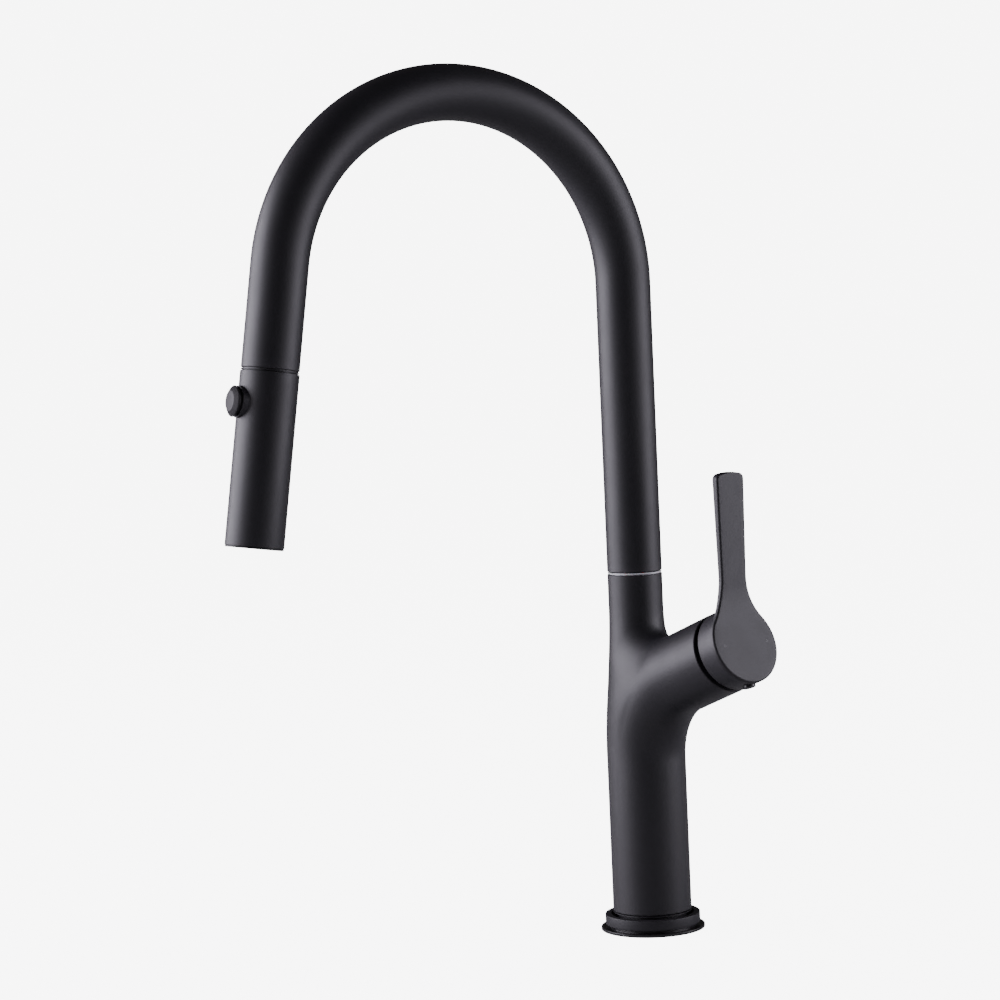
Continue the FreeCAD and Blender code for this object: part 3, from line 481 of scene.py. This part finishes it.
# ---- body: column, bend, branch and neck as one smooth skin ------------------------------------------
COLUMN_R = -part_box("body_casting")[0].x
NECK_R = 14.0 * MM
BEND_START = 87.8 * MM
NECK_BASE = 166.0 * MM
BODY_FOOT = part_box("body_casting")[0].z
FOOT_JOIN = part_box("base_ring")[1].z + 1.75 * MM
BODY_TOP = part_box("body_casting")[1].z
BRANCH_END = reach("body_casting", BRANCH_ORIGIN, BRANCH)[1]
BEND_ANGLE = math.pi / 2 - BRANCH_RISE
BEND_R = (BRANCH_ORIGIN.z - SWIVEL.x * math.tan(BRANCH_RISE) - BEND_START) / math.tan(BEND_ANGLE / 2)
FOOT_OPENING_R = 17.5 * MM
FOOT_OPENING_DEPTH = 12 * MM
NECK_BORE_R = 12.0 * MM
NECK_BORE_DEPTH = 20 * MM
BRANCH_BORE_R = 17.0 * MM
BRANCH_BORE_DEPTH = 25 * MM
BLEND_REACH = 16.0 * MM
BLEND_EASE = 0.6
INNER_LIMIT = 0.35
OUTER_LIMIT = -0.10
SKIN_STEP = 1.1 * MM
FITTING_ROUNDS = 12
EDGE = 0.30 * MM


def neck_share(height):
    """How far the neck has leaned and slimmed at a height, from 0 to 1."""
    t = np.clip((height - BEND_START) / (NECK_BASE - BEND_START), 0, 1)
    return t * t * (3 - 2 * t)


def trunk_offset(points):
    """Signed offset from the centreline in its own plane: positive towards the inside of the bend."""
    x, _, z = points.T
    angle = np.arctan2(z - BEND_START, BEND_R - x)
    column = x
    bend = BEND_R - np.hypot(x - BEND_R, z - BEND_START)
    rise = -math.sin(BRANCH_RISE) * (x - BRANCH_ORIGIN.x) + math.cos(BRANCH_RISE) * (z - BRANCH_ORIGIN.z)
    return np.where(angle <= 0, column, np.where(angle < BEND_ANGLE, bend, -rise))


def trunk_distance(points):
    """Distance outside the column, its bend and the branch."""
    return np.hypot(trunk_offset(points), points[:, 1]) - COLUMN_R


def neck_distance(points):
    """Distance outside the neck, which leans and slims from the column up to the swivel joint."""
    x, y, z = points.T
    share = neck_share(z)
    return np.hypot(x - SWIVEL.x * share, y) - (COLUMN_R + (NECK_R - COLUMN_R) * share)


def gradient(distance, points):
    """Slope of a distance function at each point."""
    step = 0.02 * MM
    parts = []
    for axis in range(3):
        shift = np.zeros(3)
        shift[axis] = step
        parts.append((distance(points + shift) - distance(points - shift)) / (2 * step))
    return np.stack(parts, axis=1)


def skin_distance(points):
    """The two pipes, merged with a blend that narrows where their surfaces come to run the same way, and
    fades out round the inside of the bend, where the neck lies within the trunk."""
    trunk = trunk_distance(points)
    neck = neck_distance(points)
    facing = (gradient(trunk_distance, points) * gradient(neck_distance, points)).sum(axis=1)
    apart = np.clip(1 - facing, 0, 2)
    offset = trunk_offset(points)
    inner = offset / np.maximum(np.hypot(offset, points[:, 1]), 1e-9)
    outside = np.clip((INNER_LIMIT - inner) / (INNER_LIMIT - OUTER_LIMIT), 0, 1)
    outside = outside ** 2 * (3 - 2 * outside)
    width = BLEND_REACH * np.sqrt(2 * apart) / (1 + BLEND_EASE * apart)
    width = np.maximum(width * outside, 1e-6)
    overlap = np.clip(width - np.abs(trunk - neck), 0, None)
    return np.minimum(trunk, neck) - overlap ** 2 / (4 * width)


def pipe_mesh(centres, radii, segments=48):
    """Vertices and faces of a capped pipe through centre points in the XZ plane."""
    vertices = []
    for index, (centre, radius) in enumerate(zip(centres, radii)):
        before = centres[max(index - 1, 0)]
        after = centres[min(index + 1, len(centres) - 1)]
        direction = (after - before).normalized()
        across = direction.cross(ACROSS_BRANCH)
        for turn in range(segments):
            angle = 2 * math.pi * turn / segments
            spot = centre + (ACROSS_BRANCH * math.cos(angle) + across * math.sin(angle)) * radius
            vertices.append(tuple(spot))
    faces = []
    for index in range(len(centres) - 1):
        for turn in range(segments):
            after = (turn + 1) % segments
            low = index * segments
            faces.append((low + turn, low + after, low + segments + after, low + segments + turn))
    faces.append(tuple(reversed(range(segments))))
    faces.append(tuple(range(len(vertices) - segments, len(vertices))))
    return vertices, faces


def rough_body():
    """The two pipes as overlapping closed solids, which reach past each end of the skin."""
    spare = 4 * MM
    trunk = [Vector((0, 0, BODY_FOOT)), Vector((0, 0, BEND_START))]
    for step in range(1, 17):
        angle = BEND_ANGLE * step / 16
        trunk.append(Vector((BEND_R * (1 - math.cos(angle)), 0, BEND_START + BEND_R * math.sin(angle))))
    trunk.append(BRANCH_ORIGIN + BRANCH * (BRANCH_END + spare))
    neck = []
    radii = []
    for step in range(25):
        height = BEND_START - 5 * MM + (BODY_TOP + spare - BEND_START + 5 * MM) * step / 24
        share = float(neck_share(height))
        neck.append(Vector((SWIVEL.x * share, 0, height)))
        radii.append(COLUMN_R + (NECK_R - COLUMN_R) * share - 0.05 * MM)
    vertices, faces = pipe_mesh(trunk, [COLUMN_R] * len(trunk))
    more, more_faces = pipe_mesh(neck, radii)
    faces += [tuple(index + len(vertices) for index in face) for face in more_faces]
    return vertices + more, faces


def close_end(bm, centre, axis, radius, bore, depth):
    """Cuts the skin square at one end and turns it in over a broken edge, the rim and the bore."""
    near = radius + 8 * MM
    geometry = bm.verts[:] + bm.edges[:] + bm.faces[:]
    bmesh.ops.bisect_plane(bm, geom=geometry, dist=1e-7, plane_co=centre - axis * EDGE, plane_no=axis,
                           clear_outer=False)
    outer = []
    for vert in bm.verts:
        offset = vert.co - centre
        level = offset.dot(axis)
        if level > -EDGE + 1e-6 and (offset - axis * level).length < near:
            outer.append(vert)
    bmesh.ops.delete(bm, geom=outer, context="VERTS")
    rim = [e for e in bm.edges if e.is_boundary
           and all(abs((v.co - centre).dot(axis) + EDGE) < 1e-6 for v in e.verts)
           and all((v.co - centre).length < near for v in e.verts)]
    for size, drop in ((radius - EDGE, 0.0), (bore + EDGE, 0.0), (bore, EDGE), (bore, depth)):
        made = bmesh.ops.extrude_edge_only(bm, edges=rim)["geom"]
        for vert in [g for g in made if isinstance(g, bmesh.types.BMVert)]:
            offset = vert.co - centre
            away = (offset - axis * offset.dot(axis)).normalized()
            vert.co = centre + away * size - axis * drop
        rim = [g for g in made if isinstance(g, bmesh.types.BMEdge)]
    bmesh.ops.holes_fill(bm, edges=rim, sides=0)


def add_body():
    """The skin: a voxel mesh of the rough pipes is drawn onto the smooth surface, then its ends are cut."""
    vertices, faces = rough_body()
    mesh = bpy.data.meshes.new("rough_body")
    mesh.from_pydata(vertices, [], faces)
    rough = bpy.data.objects.new("rough_body", mesh)
    bpy.context.scene.collection.objects.link(rough)
    remesh = rough.modifiers.new("voxels", "REMESH")
    remesh.mode = "VOXEL"
    remesh.voxel_size = SKIN_STEP
    graph = bpy.context.evaluated_depsgraph_get()
    skin = bpy.data.meshes.new_from_object(rough.evaluated_get(graph))
    bpy.data.objects.remove(rough)
    points = np.empty(len(skin.vertices) * 3)
    skin.vertices.foreach_get("co", points)
    points = points.reshape(-1, 3)
    for _ in range(FITTING_ROUNDS):
        slope = gradient(skin_distance, points)
        steepness = np.clip((slope ** 2).sum(axis=1), 0.2, None)
        points = points - slope * (skin_distance(points) / steepness)[:, None]
    skin.vertices.foreach_set("co", points.ravel())
    bm = bmesh.new()
    bm.from_mesh(skin)
    bpy.data.meshes.remove(skin)
    foot = Vector((0, 0, FOOT_JOIN))
    neck_end = Vector((SWIVEL.x, 0, BODY_TOP))
    branch_end = BRANCH_ORIGIN + BRANCH * BRANCH_END
    close_end(bm, foot, -UP, COLUMN_R, FOOT_OPENING_R, FOOT_OPENING_DEPTH)
    close_end(bm, neck_end, UP, NECK_R, NECK_BORE_R, NECK_BORE_DEPTH)
    close_end(bm, branch_end, BRANCH, COLUMN_R, BRANCH_BORE_R, BRANCH_BORE_DEPTH)
    bm.verts.ensure_lookup_table()
    bm.verts.index_update()
    vertices = [v.co.copy() for v in bm.verts]
    faces = [[v.index for v in face.verts] for face in bm.faces]
    bm.free()
    new_piece("body_skin", vertices, faces, "body", "matte_black", ["body_casting"])


# ---- spout and hose ----------------------------------------------------------------------------------
TUBE_R = 14.0 * MM
TUBE_BORE_R = 12.8 * MM
DOCK_GAP = 1.5 * MM
LEG_TILT = math.acos(-LEG.z)


def spout_path(bottom, leg_length, arch_r, spring, step):
    """(point, direction) stations up the riser, over the arch and down the leg."""
    stations = [(Vector((SWIVEL.x, 0, bottom)), UP)]
    rises = max(1, round((spring - bottom) / step))
    for index in range(1, rises + 1):
        stations.append((Vector((SWIVEL.x, 0, bottom + (spring - bottom) * index / rises)), UP))
    sweep = math.pi - LEG_TILT
    bends = round(sweep * arch_r / min(step, 3.5 * MM))
    centre = Vector((SWIVEL.x, 0, spring)) + SPOUT_OUT * arch_r
    for index in range(1, bends + 1):
        angle = sweep * index / bends
        point = centre - SPOUT_OUT * arch_r * math.cos(angle) + UP * arch_r * math.sin(angle)
        stations.append((point, SPOUT_OUT * math.sin(angle) + UP * math.cos(angle)))
    start = stations[-1][0]
    legs = max(1, round(leg_length / step))
    for index in range(1, legs + 1):
        stations.append((start + LEG * leg_length * index / legs, LEG))
    return stations


ARCH_R = 95.6 * MM
ARCH_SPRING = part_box("spout_tube")[1].z - ARCH_R - TUBE_R
SPOUT_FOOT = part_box("spout_tube")[0].z
LEG_START = Vector((SWIVEL.x, 0, ARCH_SPRING)) + SPOUT_OUT * ARCH_R * (1 + math.cos(LEG_TILT)) \
    + UP * ARCH_R * math.sin(LEG_TILT)
HEAD_START = reach("head_shell", LEG_START, LEG)[0]
LEG_LENGTH = HEAD_START - DOCK_GAP
SPOUT_SIDE = SPOUT_OUT.cross(UP)
LEG_FRAME = frame_along(LEG_START, LEG, SPOUT_SIDE)
HEAD_FRAME = frame_along(LEG_START + LEG * HEAD_START, LEG, SPOUT_SIDE)
# docking ring, in millimetres
DOCK_BORE_R = 10.4
DOCK_SLEEVE_R = 12.75
DOCK_GROOVE_R = 13.2
DOCK_FLANGE_R = 13.9
DOCK_FLANGE_T = 0.5


def add_spout():
    """The gooseneck tube, and the ring in the end of its leg that the spray head docks on."""
    path = spout_path(SPOUT_FOOT, LEG_LENGTH, ARCH_R, ARCH_SPRING, 8 * MM)
    foot = path[0][0]
    end = path[-1][0]
    body = [(point, direction, TUBE_R) for point, direction in path[1:-1]]
    rings = [
        (foot, UP, TUBE_BORE_R + EDGE / 2), (foot, UP, TUBE_R - EDGE), (foot + UP * EDGE, UP, TUBE_R), *body,
        (end - LEG * EDGE, LEG, TUBE_R), (end, LEG, TUBE_R - EDGE), (end, LEG, TUBE_BORE_R + EDGE / 2),
        (end - LEG * EDGE, LEG, TUBE_BORE_R),
    ]
    rings += [(point, direction, TUBE_BORE_R) for point, direction in reversed(path[1:-1])]
    rings.append((foot + UP * EDGE, UP, TUBE_BORE_R))
    swept("spout_pipe", rings, "spout", "matte_black", ["spout_tube"], 128)
    low, high = reach("docking_collar", LEG_START, LEG)
    low, high = low / MM, high / MM
    leg_end = LEG_LENGTH / MM
    flange = leg_end + 0.5
    flange_end = flange + DOCK_FLANGE_T
    lathed("docking_ring", [
        (DOCK_BORE_R, low, 0.2), (DOCK_SLEEVE_R, low, 0.2), (DOCK_SLEEVE_R, leg_end, 0),
        (DOCK_GROOVE_R, leg_end + 0.05, 0), (DOCK_GROOVE_R, flange, 0), (DOCK_FLANGE_R, flange, 0.1),
        (DOCK_FLANGE_R, flange_end, 0.1), (DOCK_GROOVE_R, flange_end, 0), (DOCK_GROOVE_R, high, 0),
        (DOCK_BORE_R, high, 0.6),
    ], LEG_FRAME, "spout", "matte_black", ["docking_collar"])


HOSE_R = 6.0 * MM
HOSE_BORE_R = 4.1 * MM
STRANDS = 12
STRAND_RISE = 3.3 * MM
STRAND_HEIGHT = 0.28 * MM
HOSE_SEGMENTS = 96
HOSE_ROW = 0.42 * MM
FERRULE_OVERLAP = 1.0 * MM
HOSE_TAIL = 12 * MM
BRAID_FADE = 4 * MM
PULL = JOINTS["head_pulldown"]["range_m"][1]


def strand_height(turn, along):
    """Over-and-under relief of two opposed families of strands, from 0 in the gaps to 1 on the crowns."""
    first = turn * STRANDS + along / STRAND_RISE
    second = turn * STRANDS - along / STRAND_RISE
    over = (math.floor(first) + math.floor(second)) % 2 == 0
    leading = first if over else second
    crossing = second if over else first
    profile = abs(math.sin(math.pi * (leading % 1.0))) ** 0.5
    return profile * (0.55 + 0.45 * abs(math.sin(math.pi * (crossing % 1.0))))


def add_hose():
    """The hose inside the spout, and its straight length in the leg.

    The straight length is laid out for the head pulled right down: its rows are spaced so that an eased
    stretch over the joint's full travel would leave its braid even.
    """
    free = reach("hose_ferrule", LEG_START, LEG)[0] + FERRULE_OVERLAP
    end = free + HOSE_TAIL
    path = spout_path(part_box("spray_hose")[0].z, 1e-5, ARCH_R, ARCH_SPRING, 6 * MM)[:-1]
    rings = [(point, direction, HOSE_R) for point, direction in path]
    rings += [(point, direction, HOSE_BORE_R) for point, direction in reversed(path)]
    swept("hose_in_spout", rings, "spout", "braided_nylon", ["spray_hose"], 48)
    rows = []
    stretched = free + PULL
    count = round(stretched / HOSE_ROW)
    places = np.linspace(0, free, 4001)
    share = np.clip(places / free, 0, 1)
    pulled = places + PULL * share * share * (3 - 2 * share)
    for index in range(count + 1):
        target = stretched * index / count
        along = float(np.interp(target, pulled, places))
        rows.append((LEG_START + LEG * along, target, min(1.0, target / BRAID_FADE)))
    rows.append((LEG_START + LEG * end, stretched, 0.0))
    across = LEG.cross(SPOUT_SIDE)
    vertices = []
    strands = []
    for centre, along, amount in rows:
        for turn in range(HOSE_SEGMENTS):
            angle = 2 * math.pi * turn / HOSE_SEGMENTS
            relief = strand_height(turn / HOSE_SEGMENTS, along) * amount if amount else 0.6
            radius = HOSE_R - STRAND_HEIGHT + STRAND_HEIGHT * relief
            vertices.append(centre + (SPOUT_SIDE * math.cos(angle) + across * math.sin(angle)) * radius)
            strands.append(relief)
    faces = []
    for index in range(len(rows) - 1):
        near = index * HOSE_SEGMENTS
        far = near + HOSE_SEGMENTS
        for turn in range(HOSE_SEGMENTS):
            after = (turn + 1) % HOSE_SEGMENTS
            faces.append((near + turn, near + after, far + after, far + turn))
    faces.append(tuple(range(HOSE_SEGMENTS)))
    faces.append(tuple(range(len(vertices) - HOSE_SEGMENTS, len(vertices))))
    mesh = bpy.data.meshes.new("braided_hose")
    mesh.from_pydata([tuple(v) for v in vertices], [], faces)
    # The strand height is also the mask for the braid's painted shade in its gaps.
    weave = mesh.attributes.new("strand", "FLOAT", "POINT")
    weave.data.foreach_set("value", strands)
    mesh.materials.append(MATERIALS["braided_nylon"])
    mesh.polygons.foreach_set("use_smooth", [True] * len(mesh.polygons))
    bm = bmesh.new()
    bm.from_mesh(mesh)
    bmesh.ops.recalc_face_normals(bm, faces=bm.faces)
    bm.to_mesh(mesh)
    bm.free()
    hose = bpy.data.objects.new("braided_hose", mesh)
    bpy.context.scene.collection.objects.link(hose)
    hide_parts("spray_hose")
    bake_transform(hose)


# ---- spray head, in millimetres ----------------------------------------------------------------------
HEAD_R = 14.2
HEAD_BORE_R = 12.6
HEAD_THROAT_R = 9.95
HEAD_TOP_T = 2.0
BEZEL_R = 13.95
BEZEL_SPIGOT_R = 12.5
BEZEL_BORE_R = 11.9
BEZEL_SPIGOT = 2.2
BUTTON_HOLE_R = 7.7
BUTTON_COLLAR_R = 7.65
BUTTON_NECK_R = 6.7
BUTTON_FLAT_R = 4.9
BUTTON_RIM_DROP = 2.2
SPRING_WELL_INNER_R = 4.0
SPRING_WELL_OUTER_R = 5.4
SPRING_WELL_END = 3.0


def cut_round_hole(piece, place, radius, start, end):
    """Bores a piece along a frame's Z axis, from one millimetre height to another."""
    bm = bmesh.new()
    bmesh.ops.create_cone(bm, cap_ends=True, segments=96, radius1=radius * MM, radius2=radius * MM,
                          depth=(end - start) * MM,
                          matrix=place @ Matrix.Translation((0, 0, (start + end) / 2 * MM)))
    mesh = bpy.data.meshes.new("hole")
    bm.to_mesh(mesh)
    bm.free()
    tool = bpy.data.objects.new("hole", mesh)
    bpy.context.scene.collection.objects.link(tool)
    cut = piece.modifiers.new("hole", "BOOLEAN")
    cut.operation = "DIFFERENCE"
    cut.solver = "EXACT"
    cut.object = tool
    graph = bpy.context.evaluated_depsgraph_get()
    bored = bpy.data.meshes.new_from_object(piece.evaluated_get(graph))
    piece.modifiers.clear()
    bpy.data.objects.remove(tool)
    bm = bmesh.new()
    bm.from_mesh(bored)
    for edge in bm.edges:
        edge.smooth = edge.calc_face_angle(0.0) < math.radians(30)
    for face in bm.faces:
        face.smooth = True
    bm.to_mesh(piece.data)
    bm.free()
    bpy.data.meshes.remove(bored)


def button_place():
    """A frame on the head's axis, level with the button, with Z outwards along its travel."""
    origin = LEG_START + LEG * HEAD_START
    low, high = reach("button_cap", origin, LEG)
    return frame_along(origin + LEG * (low + high) / 2, -PRESS)


def add_head():
    """The head's shell, with the button's hole in its front, and the bezel round the spray face."""
    length = reach("head_shell", LEG_START + LEG * HEAD_START, LEG)[1] / MM
    walls = [(HEAD_R, height, 0) for height in (6, 9, 12, 15, 18, 21, 25)]
    shell = lathed("head_shell_turned", [
        (HEAD_THROAT_R, 0, 0.2), (HEAD_R, 0, 0.35), *walls, (HEAD_R, length, 0.2), (HEAD_BORE_R, length, 0.2),
        (HEAD_BORE_R, HEAD_TOP_T, 0), (HEAD_THROAT_R, HEAD_TOP_T, 0),
    ], HEAD_FRAME, "spray_head", "matte_black", ["head_shell"])
    cut_round_hole(shell, button_place(), BUTTON_HOLE_R, 5.0, 20.0)
    back = length - BEZEL_SPIGOT
    flange = length + 0.02
    front = length + 1.0
    lathed("face_bezel_moulded", [
        (BEZEL_BORE_R, back, 0), (BEZEL_SPIGOT_R, back, 0), (BEZEL_SPIGOT_R, flange, 0), (BEZEL_R, flange, 0),
        (BEZEL_R, front, 0.3), (BEZEL_BORE_R, front, 0.3),
    ], HEAD_FRAME, "spray_head", "dark_plastic", ["face_bezel"])


def add_button():
    """Bevelled push button on its collar. Both are turned about the axis that the button is pressed along."""
    place = button_place()
    centre = place.translation
    low, high = reach("button_cap", centre, LEG)
    radius = (high - low) / 2 / MM
    back, face = reach("button_cap", centre, -PRESS)
    back, face = back / MM, face / MM
    rim = face - BUTTON_RIM_DROP
    well = face - SPRING_WELL_END
    lathed("button_cap_domed", [
        (0, back, 0), (SPRING_WELL_INNER_R, back, 0.1), (SPRING_WELL_INNER_R, well, 0),
        (SPRING_WELL_OUTER_R, well, 0), (SPRING_WELL_OUTER_R, back, 0.1), (BUTTON_NECK_R, back, 0.3),
        (BUTTON_NECK_R, rim, 0.1), (radius, rim, 0.2), (radius, rim + 0.4, 0.2),
        (radius - 0.35, rim + 0.75, 0.3), (BUTTON_FLAT_R, face, 0.3), (0, face, 0),
    ], place, "spray_button", "dark_plastic", ["button_cap"], 96)
    back, face = reach("button_collar", centre, -PRESS)
    back, face = back / MM, face / MM
    bore = BUTTON_NECK_R + 0.1
    lathed("button_collar_turned", [
        (bore, back, 0), (BUTTON_COLLAR_R, back, 0), (BUTTON_COLLAR_R, face, 0.3), (bore, face, 0.2),
    ], place, "spray_head", "matte_black", ["button_collar"], 96)


# ---- lever -------------------------------------------------------------------------------------------
HUB_R = 20.0 * MM
HUB_FRONT = 87.7 * MM
HUB_REAR = reach("lever_handle", BRANCH_ORIGIN, BRANCH)[0]
HINGE = 18.0 * MM
BEND_SOFT_R = 60.0 * MM
HALF_ROOT = 8.15 * MM
HALF_TIP = 8.9 * MM
FLARE_R = 34.0 * MM
CORNER_R = 3.0 * MM
CROWN = 0.6 * MM
ROOT_THICK = 2.9 * MM
TIP_THICK = 4.1 * MM
BEVEL = 1.1 * MM
BACK_EDGE = 0.5 * MM
HUB_SOLID = 79.2 * MM
HUB_SKIRT_R = 18.3 * MM
MARK_R = 0.78 * MM
HUB_CENTRE = BRANCH_ORIGIN + BRANCH * HUB_FRONT
BLADE_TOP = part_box("lever_handle")[1].z


def arc(centre, radius, start, end, steps):
    """Points on an arc, after its first point, as (along, across)."""
    points = []
    for step in range(1, steps + 1):
        angle = start + (end - start) * step / steps
        points.append((centre[0] + radius * math.cos(angle), centre[1] + radius * math.sin(angle)))
    return points


def lever_outline(tip):
    """Half of the lever's front outline, from the foot of the disc to the middle of the blade's tip."""
    flare_across = HALF_ROOT + FLARE_R
    flare_along = math.sqrt((HUB_R + FLARE_R) ** 2 - flare_across ** 2)
    tangent = math.atan2(flare_across, flare_along)
    points = arc((0, 0), HUB_R, math.pi, tangent, 60)
    points += arc((flare_along, flare_across), FLARE_R, tangent - math.pi, -math.pi / 2, 20)
    corner = tip - CROWN - CORNER_R
    for step in range(1, 17):
        share = step / 16
        along = flare_along + (corner - flare_along) * share
        points.append((along, HALF_ROOT + (HALF_TIP - HALF_ROOT) * share))
    points += arc((corner, HALF_TIP - CORNER_R), CORNER_R, math.pi / 2, 0, 8)
    half = HALF_TIP - CORNER_R
    for step in range(1, 6):
        across = half * (1 - step / 6)
        points.append((tip - CROWN * (across / half) ** 2, across))
    return points


def lever_front(along):
    """Point and outward normal of the front surface at a distance along the lever from the hub's centre."""
    lean = UP_BRANCH
    start = HINGE - BEND_SOFT_R * math.tan(BRANCH_RISE / 2)
    if along <= start:
        return HUB_CENTRE + lean * along, BRANCH.copy()
    angle = min((along - start) / BEND_SOFT_R, BRANCH_RISE)
    point = HUB_CENTRE + lean * (start + BEND_SOFT_R * math.sin(angle)) \
        + BRANCH * BEND_SOFT_R * (1 - math.cos(angle))
    normal = BRANCH * math.cos(angle) - lean * math.sin(angle)
    rest = along - start - angle * BEND_SOFT_R
    return point + UP * rest, normal


def lever_point(along, across, depth):
    point, normal = lever_front(along)
    return point + ACROSS_BRANCH * across - normal * depth


def add_lever():
    """The disc and blade as one plate with a rounded front edge, over the turned hub."""
    bend_end = HINGE + BEND_SOFT_R * math.tan(BRANCH_RISE / 2)
    tip = bend_end + BLADE_TOP - lever_front(bend_end)[0].z
    outline = np.array([(-HUB_R, 0.0)] + lever_outline(tip) + [(tip, 0.0)])
    slope = np.gradient(outline, axis=0)
    slope[0] = (0, 1)
    slope[-1] = (0, -1)
    normal = np.stack([-slope[:, 1], slope[:, 0]], axis=1)
    normal /= np.linalg.norm(normal, axis=1)[:, None]
    columns = 8
    bevel_steps = []
    for step in range(8):
        angle = math.pi / 2 * step / 7
        bevel_steps.append((BEVEL * (1 - math.cos(angle)), BEVEL * (1 - math.sin(angle))))
    vertices = []
    faces = []
    rows = len(outline)

    def thickness(along):
        share = min(max((along - HINGE) / (tip - HINGE), 0), 1)
        return ROOT_THICK + (TIP_THICK - ROOT_THICK) * share

    def side_loop(inset, depth_at):
        loop = []
        for side in (1, -1):
            row = []
            for (along, across), (n_along, n_across) in zip(outline, normal):
                a = along - n_along * inset
                c = max(across - n_across * inset, 0.0)
                row.append(len(vertices))
                vertices.append(lever_point(a, side * c, depth_at(a)))
            loop.append(row)
        return loop[0] + loop[1][::-1]

    loops = [side_loop(BACK_EDGE, thickness), side_loop(0.0, lambda a: thickness(a) - BACK_EDGE)]
    loops += [side_loop(inset, lambda a, d=depth: d) for inset, depth in bevel_steps]
    count = len(loops[0])
    for near, far in zip(loops, loops[1:]):
        for index in range(count):
            after = (index + 1) % count
            faces.append((near[index], near[after], far[after], far[index]))
    for loop, depth_at, inset in ((loops[0], thickness, BACK_EDGE), (loops[-1], lambda a: 0.0, BEVEL)):
        grid = []
        for row in range(rows):
            a = outline[row][0] - normal[row][0] * inset
            c = max(outline[row][1] - normal[row][1] * inset, 0.0)
            line = [loop[row]]
            for column in range(1, columns):
                line.append(len(vertices))
                vertices.append(lever_point(a, c * (1 - 2 * column / columns), depth_at(a)))
            line.append(loop[count - 1 - row])
            grid.append(line)
        for low, high in zip(grid, grid[1:]):
            for column in range(columns):
                faces.append((low[column], low[column + 1], high[column + 1], high[column]))
    new_piece("lever_blade", vertices, faces, "lever", "matte_black", ["lever_handle"], 32)
    solid = HUB_SOLID / MM
    skirt = HUB_SKIRT_R / MM
    rear = HUB_REAR / MM
    front = HUB_FRONT / MM - 1.3
    radius = HUB_R / MM - 0.01
    lathed("lever_hub", [
        (0, solid, 0), (skirt, solid, 0.3), (skirt, rear, 0.2), (radius, rear, 0.4), (radius, front, 0),
        (0, front, 0),
    ], BRANCH_FRAME, "lever", "matte_black", (), 160)


def add_lever_trim():
    """Set-screw plug under the hub, the two index dots on its face and the cap seen behind it."""
    low, high = reach("set_screw_plug", BRANCH_ORIGIN, BRANCH)
    centre = BRANCH_ORIGIN + BRANCH * (low + high) / 2
    place = frame_along(centre, -UP_BRANCH)
    back, face = reach("set_screw_plug", centre, -UP_BRANCH)
    back, face = back / MM, face / MM
    radius = (high - low) / 2 / MM
    lathed("set_screw_cover", [
        (0, back, 0), (radius, back, 0.2), (radius, face + 0.5, 0.4), (radius - 0.9, face + 0.7, 0.3),
        (radius - 1.2, face + 0.3, 0.2), (0, face + 0.3, 0),
    ], place, "lever", "gloss_black", ["set_screw_plug"], 64)
    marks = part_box("index_marks")
    spread = (marks[1].y - marks[0].y) / 2 - MARK_R
    for number, side in ((1, -1), (2, 1)):
        place = frame_along(HUB_CENTRE + ACROSS_BRANCH * side * spread, BRANCH)
        lathed("index_dot_%d" % number, [
            (0, -0.2, 0), (0.75, -0.2, 0), (0.75, 0.03, 0.05), (0.45, 0.05, 0.05), (0.35, -0.02, 0.05),
            (0, -0.02, 0),
        ], place, "lever", "mark_enamel", ["index_marks"], 32)
    low, high = reach("dome_cap", BRANCH_ORIGIN, BRANCH)
    low, high = low / MM, high / MM
    lathed("cap_dome", [
        (15.2, low, 0.2), (16.9, low, 0.1), (16.9, 72.2, 0), (17.3, 72.2, 0.1), (17.3, 74.2, 0.3),
        (16.9, 74.7, 0.5), (13.4, high, 0.4), (13.0, high - 0.2, 0.1), (13.0, 74.6, 0), (15.2, 74.0, 0),
    ], BRANCH_FRAME, "body", "gloss_black", ["dome_cap"])


# ---- the scene ---------------------------------------------------------------------------------------
add_camera()
add_stage()
for name, setting in SOFTBOXES.items():
    add_softbox(name, *setting)
for name, slot in SLOTS.items():
    NODES[name].data.materials.clear()
    NODES[name].data.materials.append(MATERIALS[slot])
add_base()
add_slip_ring()
add_body()
add_spout()
add_hose()
add_head()
add_button()
add_lever()
add_lever_trim()
